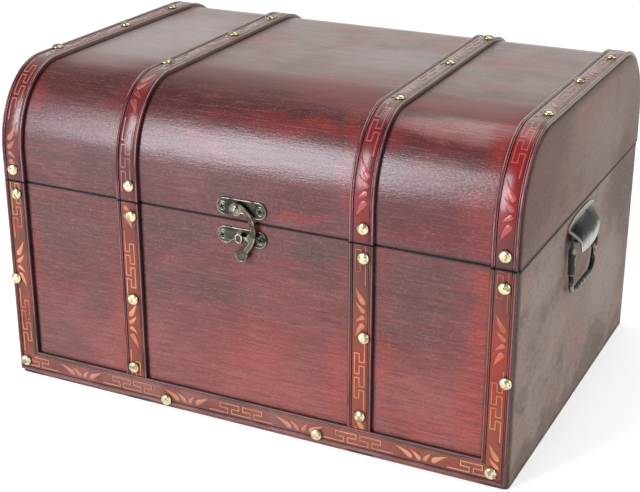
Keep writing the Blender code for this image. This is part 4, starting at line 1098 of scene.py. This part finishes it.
def handleFinish(name, hood):
    metal = Finish(name, handleLook)
    rise, over, noise = metal.rise, metal.over, metal.noise
    z = metal.parts(metal.where())[2]
    cloud = noise(95.0, 3.0, 0.55, 0.8)
    smear = noise(1.0, 2.0, 0.5, 0.6, (190, 190, 70))
    scratch = noise(1.0, 2.0, stretch=(500, 500, 90))
    edge = metal.node("ShaderNodeNewGeometry", {}, {}, 7)
    if hood:  # blackened over the bulge, where it also stands for a painted dark reflection; painted shade in the crease below the flange; a painted highlight towards its lower edge
        plain = (handleTop - z) * (1 / mm)
        down = plain + (cloud - 0.5) * 13.0 + (smear - 0.5) * 3.5
        blackAndReflection = rise(down, 4.5, 7.0) * rise(down, 20.5, 15.5)
        blackAndReflection = blackAndReflection.most(rise(abs(plain - 6.0), 1.6, 0.5) * 0.8)
        shade = over("metal", ("bright", rise(down, 19.0, 25.0) * 0.45))
    else:
        # black patina in streaks along the bars, which also paints in the bars' dark reflections between
        # the bright streaks
        blackAndReflection = rise(smear, 0.60, 0.53)
        shade = "metal"
    shade = over(
        shade, ("dark", blackAndReflection * 0.97), ("dark", rise(scratch, 0.56, 0.70) * 0.5),
        ("bright", rise(edge, 0.515, 0.57) * 0.45))
    return metal.set(Base_Color=shade, Metallic=1.0 - 0.92 * blackAndReflection, Roughness=0.14 + 0.22 * cloud,
                     Specular_IOR_Level=0.10, Normal=metal.bump(cloud, 0.0005, 0.35))


hoodMetal = handleFinish("hoodMetal", True)
bailMetal = handleFinish("bailMetal", False)


def hoodOut(down):
    look = handleLook
    if down <= look["flange"]:
        return 0.0
    t = (down - look["flange"]) / (look["hoodTall"] - look["flange"])
    swell = sin(min(t * look["swell"], 1.0) * pi / 2) ** look["swellCurve"]
    return (look["bulge"] - look["sheet"]) * swell


def hoodSheet(place):
    look = handleLook
    wide, tall = look["wide"], look["tall"]
    grid = []
    for j in range(tall + 1):
        t = j / tall
        width = look["hoodTop"] + (look["hoodLow"] - look["hoodTop"]) * t ** look["taper"]
        row = []
        for i in range(wide + 1):
            u = 2 * i / wide - 1
            sag = look["hoodTall"] * look["sag"] * (1 - u * u) * t
            droop = look["corner"] * u ** 4 * (1 - t)
            out = hoodOut(look["hoodTall"] * t) * (1.0 - look["sideDip"] * u * u * t)
            row.append(Vector((out, u * width / 2, -look["hoodTall"] * t - sag - droop)))
        grid.append(row)
    bm = bmesh.new()
    under, over = [], []
    for sheet, lift in ((under, 0.0), (over, look["sheet"])):
        for j in range(tall + 1):
            sheet.append([])
            for i in range(wide + 1):
                across = grid[j][min(i + 1, wide)] - grid[j][max(i - 1, 0)]
                downward = grid[min(j + 1, tall)][i] - grid[max(j - 1, 0)][i]
                way = downward.cross(across).normalized()
                if way.x < 0:
                    way = -way
                share = look["rimThin"] if i in (0, wide) or j in (0, tall) else 1.0
                sheet[j].append(bm.verts.new(place(*(grid[j][i] + way * lift * share))))
        for a, b in zip(sheet, sheet[1:]):
            join(bm, a, b)
    for end in (0, -1):  # the rim all round
        join(bm, under[end], over[end])
        join(bm, [row[end] for row in under], [row[end] for row in over])
    return bm


def tube(bm, route, place, segments=20):  # route of (along, up, radius) in the wall's plane
    fine = []
    for k in range(len(route) - 1):
        a, b, c, d = (Vector(route[min(max(k + n, 0), len(route) - 1)]) for n in (-1, 0, 1, 2))
        for t in (0, 0.25, 0.5, 0.75):
            fine.append(0.5 * (2 * b + (c - a) * t + (2 * a - 5 * b + 4 * c - d) * t * t
                               + (3 * b - 3 * c + d - a) * t ** 3))
    fine.append(Vector(route[-1]))
    rings = []
    for i, spot in enumerate(fine):
        way = (fine[min(i + 1, len(fine) - 1)] - fine[max(i - 1, 0)]).xy.normalized()
        ring = []
        for k in range(segments):
            turn = 2 * pi * k / segments
            off = square(way) * cos(turn) * spot.z
            ring.append(bm.verts.new(place(handleLook["axleReach"] + sin(turn) * spot.z,
                                           spot.x + off.x, spot.y + off.y - handleLook["axleDrop"])))
        rings.append(ring)
    hull(bm, rings)


def bailRoute():
    look = handleLook
    top, low, turn = look["bailTop"] / 2, look["bailLow"] / 2, look["bailTurn"]
    stub, grip, bail, corner = look["stub"], look["grip"], look["bail"], look["bailCorner"]
    gripTop = -turn - 2.0
    gripEnd = gripTop - look["gripLong"]
    line = [(look["earApart"] / 2 - look["earThick"] / 2 - 1.0, 0, stub), (top - turn - 2.5, 0, stub),
            (top - turn - 0.6, 0, stub)]
    line += [(a, b, stub * 1.15) for a, b in arc((top - turn, -turn), turn, 70, 20, 2)]
    # down the leg, which leans in a little, with the thick grip on it
    for z, radius in ((gripTop, grip * 0.95), (gripTop - 2.0, grip), (gripEnd / 2, grip),
                      (gripEnd + 1.5, grip), (gripEnd, grip * 0.92), (gripEnd - 1.5, bail)):
        line.append((top + (low - top) * -z / look["bailDrop"], z, radius))
    line += [(a, b, bail) for a, b in arc((low - corner, corner - look["bailDrop"]), corner, 0, -90, 5)]
    line.append((low - corner - 6.0, -look["bailDrop"], bail))
    return [(-a, b, r) for a, b, r in line] + line[::-1]


look = handleLook
reach = look["earApart"] / 2 + look["earThick"] / 2
plate = boxed(-reach, -look["axleDrop"] - look["ear"], reach, -look["flange"] / 2)
ear = [(0.6, look["ear"])] + arc((look["axleReach"], 0), look["ear"], 90, -90, 24) + [(0.6, -look["ear"])]
for side, name in ((-1, "left"), (1, "right")):
    place = atWall(side)
    solid(name + "Hood", hoodSheet(place), hoodMetal, "body", ["handle_plate_" + name],
          40)
    bm = bmesh.new()
    pressed(bm, plate, look["plateRim"], lambda along, up, out: place(out, along, up))
    for middle in (-look["earApart"] / 2, look["earApart"] / 2):
        pressed(bm, ear, look["earRim"],
                lambda out, up, thick: place(out, middle + thick, up - look["axleDrop"]))
    solid(name + "Ears", bm, bailMetal, "body", sharp=40)
    bm = bmesh.new()
    tube(bm, bailRoute(), place)
    solid(name + "Bail", bm, bailMetal, "bail_" + name, ["handle_bail_" + name], 50)
print("handles done")


# Floor, light and camera
stageLook = {"floor": (0.80, 0.80, 0.80), "boost": 0.46, "world": 0.46, "overhead": 0.36}


def setStage():
    paint = Finish("floorPaint", stageLook)
    camera, glossy, clear = paint.rays()
    glow = paint.over((0, 0, 0), ((stageLook["boost"],) * 3, camera + glossy + clear))
    paint.set(Base_Color="floor", Roughness=1.0, Specular_IOR_Level=0.0, Emission_Color=glow,
              Emission_Strength=1.0)
    bm = bmesh.new()
    bmesh.ops.create_circle(bm, cap_ends=True, segments=96, radius=9.0)
    floor = added("floor", meshed("floor", bm, paint.material))

    # white all round for the camera, and for what shines too, though duller overhead
    world = bpy.data.worlds.new("studio")
    bpy.context.scene.world = world
    back = Finish("Background", stageLook, world)
    camera, glossy, clear = back.rays()
    height = back.parts(back.node("ShaderNodeTexCoord", {}, {}))[2]
    duller = 1.0 - (1.0 - stageLook["overhead"]) * back.rise(height, 0.10, 0.46)
    shiny = glossy.most(clear)
    back.set(Color=(1.0, 1.0, 1.0), Strength=camera + (1.0 - camera) * (
        shiny * duller + (1.0 - shiny) * stageLook["world"]))


def softbox(name, place, target, width, height, power, colour=(1, 1, 1)):
    lamp = bpy.data.lights.new(name, "AREA")
    lamp.shape = "RECTANGLE"
    lamp.size = width
    lamp.size_y = height
    lamp.energy = power
    lamp.color = colour
    made = added(name, lamp)
    made.location = place
    made.rotation_euler = (Vector(target) - Vector(place)).to_track_quat("-Z", "Y").to_euler()


setStage()
softbox("keyBox", (-0.82, -1.70, 0.95), (0.02, -0.15, 0.22), 0.75, 1.25, 38.5, (0.885, 0.935, 1.0))
softbox("sideBox", (1.9, -0.6, 1.1), (0.1, 0.0, 0.12), 1.2, 1.2, 11.0)
softbox("topBox", (0.1, 0.5, 1.9), (0.0, 0.0, 0.1), 1.4, 0.9, 9.0)

camera = bpy.data.cameras.new("camera")
camera.lens = 78.625
camera.sensor_fit = "HORIZONTAL"
camera.sensor_width = 36.0
eye = added("camera", camera)
eye.location = (0.49378, -1.04232, 0.57108)
turned = Vector((1.92139, 0.44291, -0.2964))
rows = Matrix.Rotation(turned.length, 3, turned.normalized())
eye.rotation_euler = Matrix((rows[0], -rows[1], -rows[2])).transposed().to_euler()
bpy.context.scene.camera = eye
bpy.context.scene.view_settings.view_transform = "Standard"
print("stage done")
